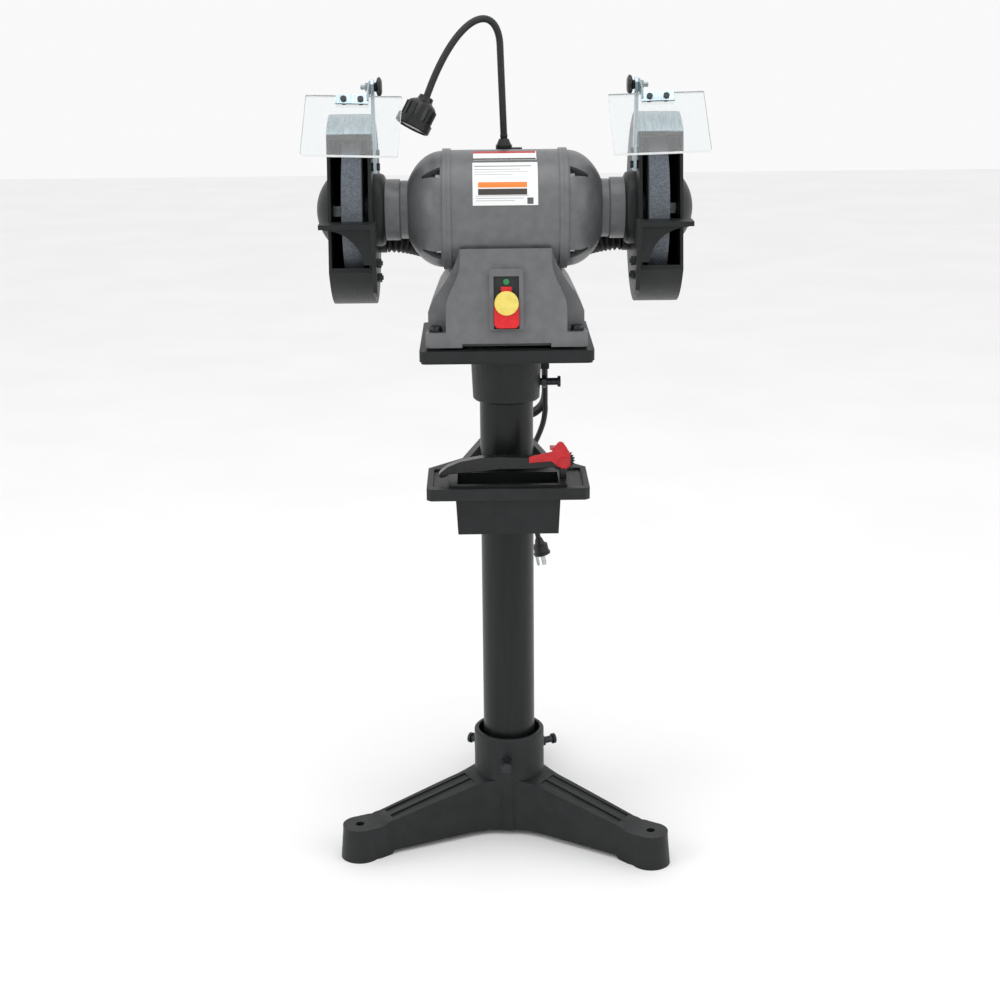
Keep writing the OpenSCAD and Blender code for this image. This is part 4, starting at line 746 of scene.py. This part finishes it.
class GRINDER_OT_lamp(bpy.types.Operator):
    """Gooseneck and lamp head"""
    bl_idname = "grinder.lamp"
    bl_label = "Lamp"

    def execute(self, context):
        foot, crown, head = LAMP_FOOT, LAMP_CROWN, LAMP_HEAD
        across = Vector((head.x - crown.x, head.y - crown.y, 0))
        arch = [crown, crown + self.up(ARCH_RISE), crown + across * ARCH_SHARE + self.up(ARCH_CREST), head]
        lower = [foot.lerp(crown, k / 40) for k in range(41)]
        upper = [cubic(arch, k / 90) for k in range(91)]
        stem = self.coiled(context, "gooseneck_stem", [foot - self.up(0.012)] + lower, "gooseneck_lower")
        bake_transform(stem)
        top = self.coiled(context, "gooseneck_arch", upper, "gooseneck_upper")
        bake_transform(top)
        dressed("lamp_head", "lamp_head_shell", "lamp", finish("lamp"), 0.0006)
        return {"FINISHED"}

    def up(self, height):
        return Vector((0, 0, height))

    def coiled(self, context, name, path, node):
        """A neck of fine coils: three rings to each coil."""
        sizes = context.scene.grinder_neck
        route = smooth_route(path, sizes.pitch / 3)
        radius = sizes.diameter / 2
        bm = swept(route, [radius * NECK_WAVE[i % 3] for i in range(len(route))], NECK_SIDES)
        return link(name, bm, [finish("neck")], None, (node,), 80)


class GRINDER_OT_shields(bpy.types.Operator):
    """Eye shields, their brackets, knobs and arms, and the spark arresters"""
    bl_idname = "grinder.shields"
    bl_label = "Shields and arresters"

    def execute(self, context):
        for side in SIDES:
            shield = dressed(f"eye_shield_{side}", f"shield_panel_{side}", f"shield_{side}",
                             finish("acrylic"))
            shield.data.materials.append(finish("edge"))
            largest = max(shield.data.polygons, key=lambda f: f.area)
            for face in shield.data.polygons:
                if abs(face.normal.dot(largest.normal)) < 0.5:
                    face.material_index = 1
            clamp = dressed(f"shield_bracket_{side}", f"shield_clamp_{side}", f"shield_{side}",
                            finish("zinc"), 0.0004)
            clamp.data.materials.append(finish("oxide"))
            for face in clamp.data.polygons:
                x, y, z = face.center
                at = SHIELD_PLACE.inverted() @ Vector((abs(x), y, z))
                near = min(math.hypot(at.x - across, at.y + CLAMP_SCREW_DROP) for across in CLAMP_SCREWS)
                if near < CLAMP_SCREW_REACH and not CLAMP_SHEET[0] < at.z < CLAMP_SHEET[1]:
                    face.material_index = 1
            dressed(f"spark_arrester_{side}", f"arrester_plate_{side}", f"arrester_{side}", finish("zinc"),
                    0.0003)
            knob = dressed(f"shield_knob_{side}", f"clamp_knob_{side}", f"knob_{side}", finish("phenolic"),
                           0.0004)
            knob.data.materials.append(finish("bolt"))
            for face in knob.data.polygons:
                if abs(face.center.x) > KNOB_PIN:
                    face.material_index = 1
        dressed("shield_arms", "shield_arm_strips", "stand", finish("zinc"), 0.0004)
        return {"FINISHED"}


class GRINDER_OT_switch(bpy.types.Operator):
    """Safety switch: plate, start button, paddle and disc"""
    bl_idname = "grinder.switch"
    bl_label = "Switch"

    def execute(self, context):
        dressed("switch_plate", "switch_face_plate", "stand", finish("switch plate"), 0.0004)
        dressed("start_button", "start_push_button", "start", finish("green"), 0.0006)
        dressed("stop_paddle", "stop_paddle_lever", "stop", finish("red"), 0.0014, 3)
        dressed("stop_disc", "stop_paddle_disc", "stop", finish("yellow"), 0.0012, 3)
        return {"FINISHED"}


class GRINDER_OT_dresser(bpy.types.Operator):
    """Wheel dresser that lies on the water pot"""
    bl_idname = "grinder.dresser"
    bl_label = "Wheel dresser"

    def execute(self, context):
        dressed("dresser_handle", "dresser_cast_handle", "dresser", finish("gloss"), 0.0016, 3)
        dressed("dresser_hood", "dresser_red_hood", "dresser", finish("hood"), 0.0009, 3)
        dressed("dresser_cutters", "dresser_star_cutters", "cutters", finish("oxide"))
        return {"FINISHED"}


# CAD nodes whose shape stays, and their finishes
KEPT = {
    "stand_bolts": "oxide", "mount_bolts": "oxide", "base_cover": "cover", "switch_body": "switch plate",
    "capacitor": "capacitor", "stator": "winding", "housing_screws": "bolt", "bearings": "bearing",
    "guard_bolts": "oxide", "data_plates": "plates", "shaft": "shaft", "rotor_core": "core",
    "wheel_flanges": "flange", "arbor_nuts": "bolt", "lamp_lens": "lens",
}


class GRINDER_OT_fittings(bpy.types.Operator):
    """Bolts, plates and inner parts that keep their shape"""
    bl_idname = "grinder.fittings"
    bl_label = "Fittings"

    def execute(self, context):
        for node, skin in KEPT.items():
            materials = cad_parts[node].data.materials
            for k in range(len(materials)):
                materials[k] = finish(skin)
        return {"FINISHED"}


class GRINDER_PT_panel(bpy.types.Panel):
    """Lists the grinder's building steps"""
    bl_idname = "GRINDER_PT_panel"
    bl_label = "Pedestal Grinder"
    bl_space_type = "VIEW_3D"
    bl_region_type = "UI"
    bl_category = "Grinder"

    def draw(self, context):
        for group in ("grinder_paint", "grinder_lead", "grinder_neck"):
            settings = getattr(context.scene, group)
            for key in settings.__annotations__:
                self.layout.prop(settings, key)
        for step in STEPS:
            self.layout.operator(step.bl_idname)


STEPS = (
    GRINDER_OT_stage, GRINDER_OT_lead, GRINDER_OT_castings, GRINDER_OT_wheels, GRINDER_OT_hoses,
    GRINDER_OT_lamp, GRINDER_OT_shields, GRINDER_OT_switch, GRINDER_OT_dresser, GRINDER_OT_fittings,
)
SETTINGS = {"grinder_paint": GrinderPaint, "grinder_lead": GrinderLead, "grinder_neck": GrinderNeck}


def register():
    for kind in (*SETTINGS.values(), *STEPS, GRINDER_PT_panel):
        bpy.utils.register_class(kind)
    for name, kind in SETTINGS.items():
        setattr(bpy.types.Scene, name, bpy.props.PointerProperty(type=kind))


def unregister():
    for name in SETTINGS:
        delattr(bpy.types.Scene, name)
    for kind in reversed((*SETTINGS.values(), *STEPS, GRINDER_PT_panel)):
        bpy.utils.unregister_class(kind)


def main():
    register()
    bpy.ops.grinder.stage()
    bpy.ops.grinder.lead()
    bpy.ops.grinder.castings()
    bpy.ops.grinder.wheels()
    bpy.ops.grinder.hoses()
    bpy.ops.grinder.lamp()
    bpy.ops.grinder.shields()
    bpy.ops.grinder.switch()
    bpy.ops.grinder.dresser()
    bpy.ops.grinder.fittings()
    bpy.context.view_layer.update()


if __name__ == "__main__":
    main()
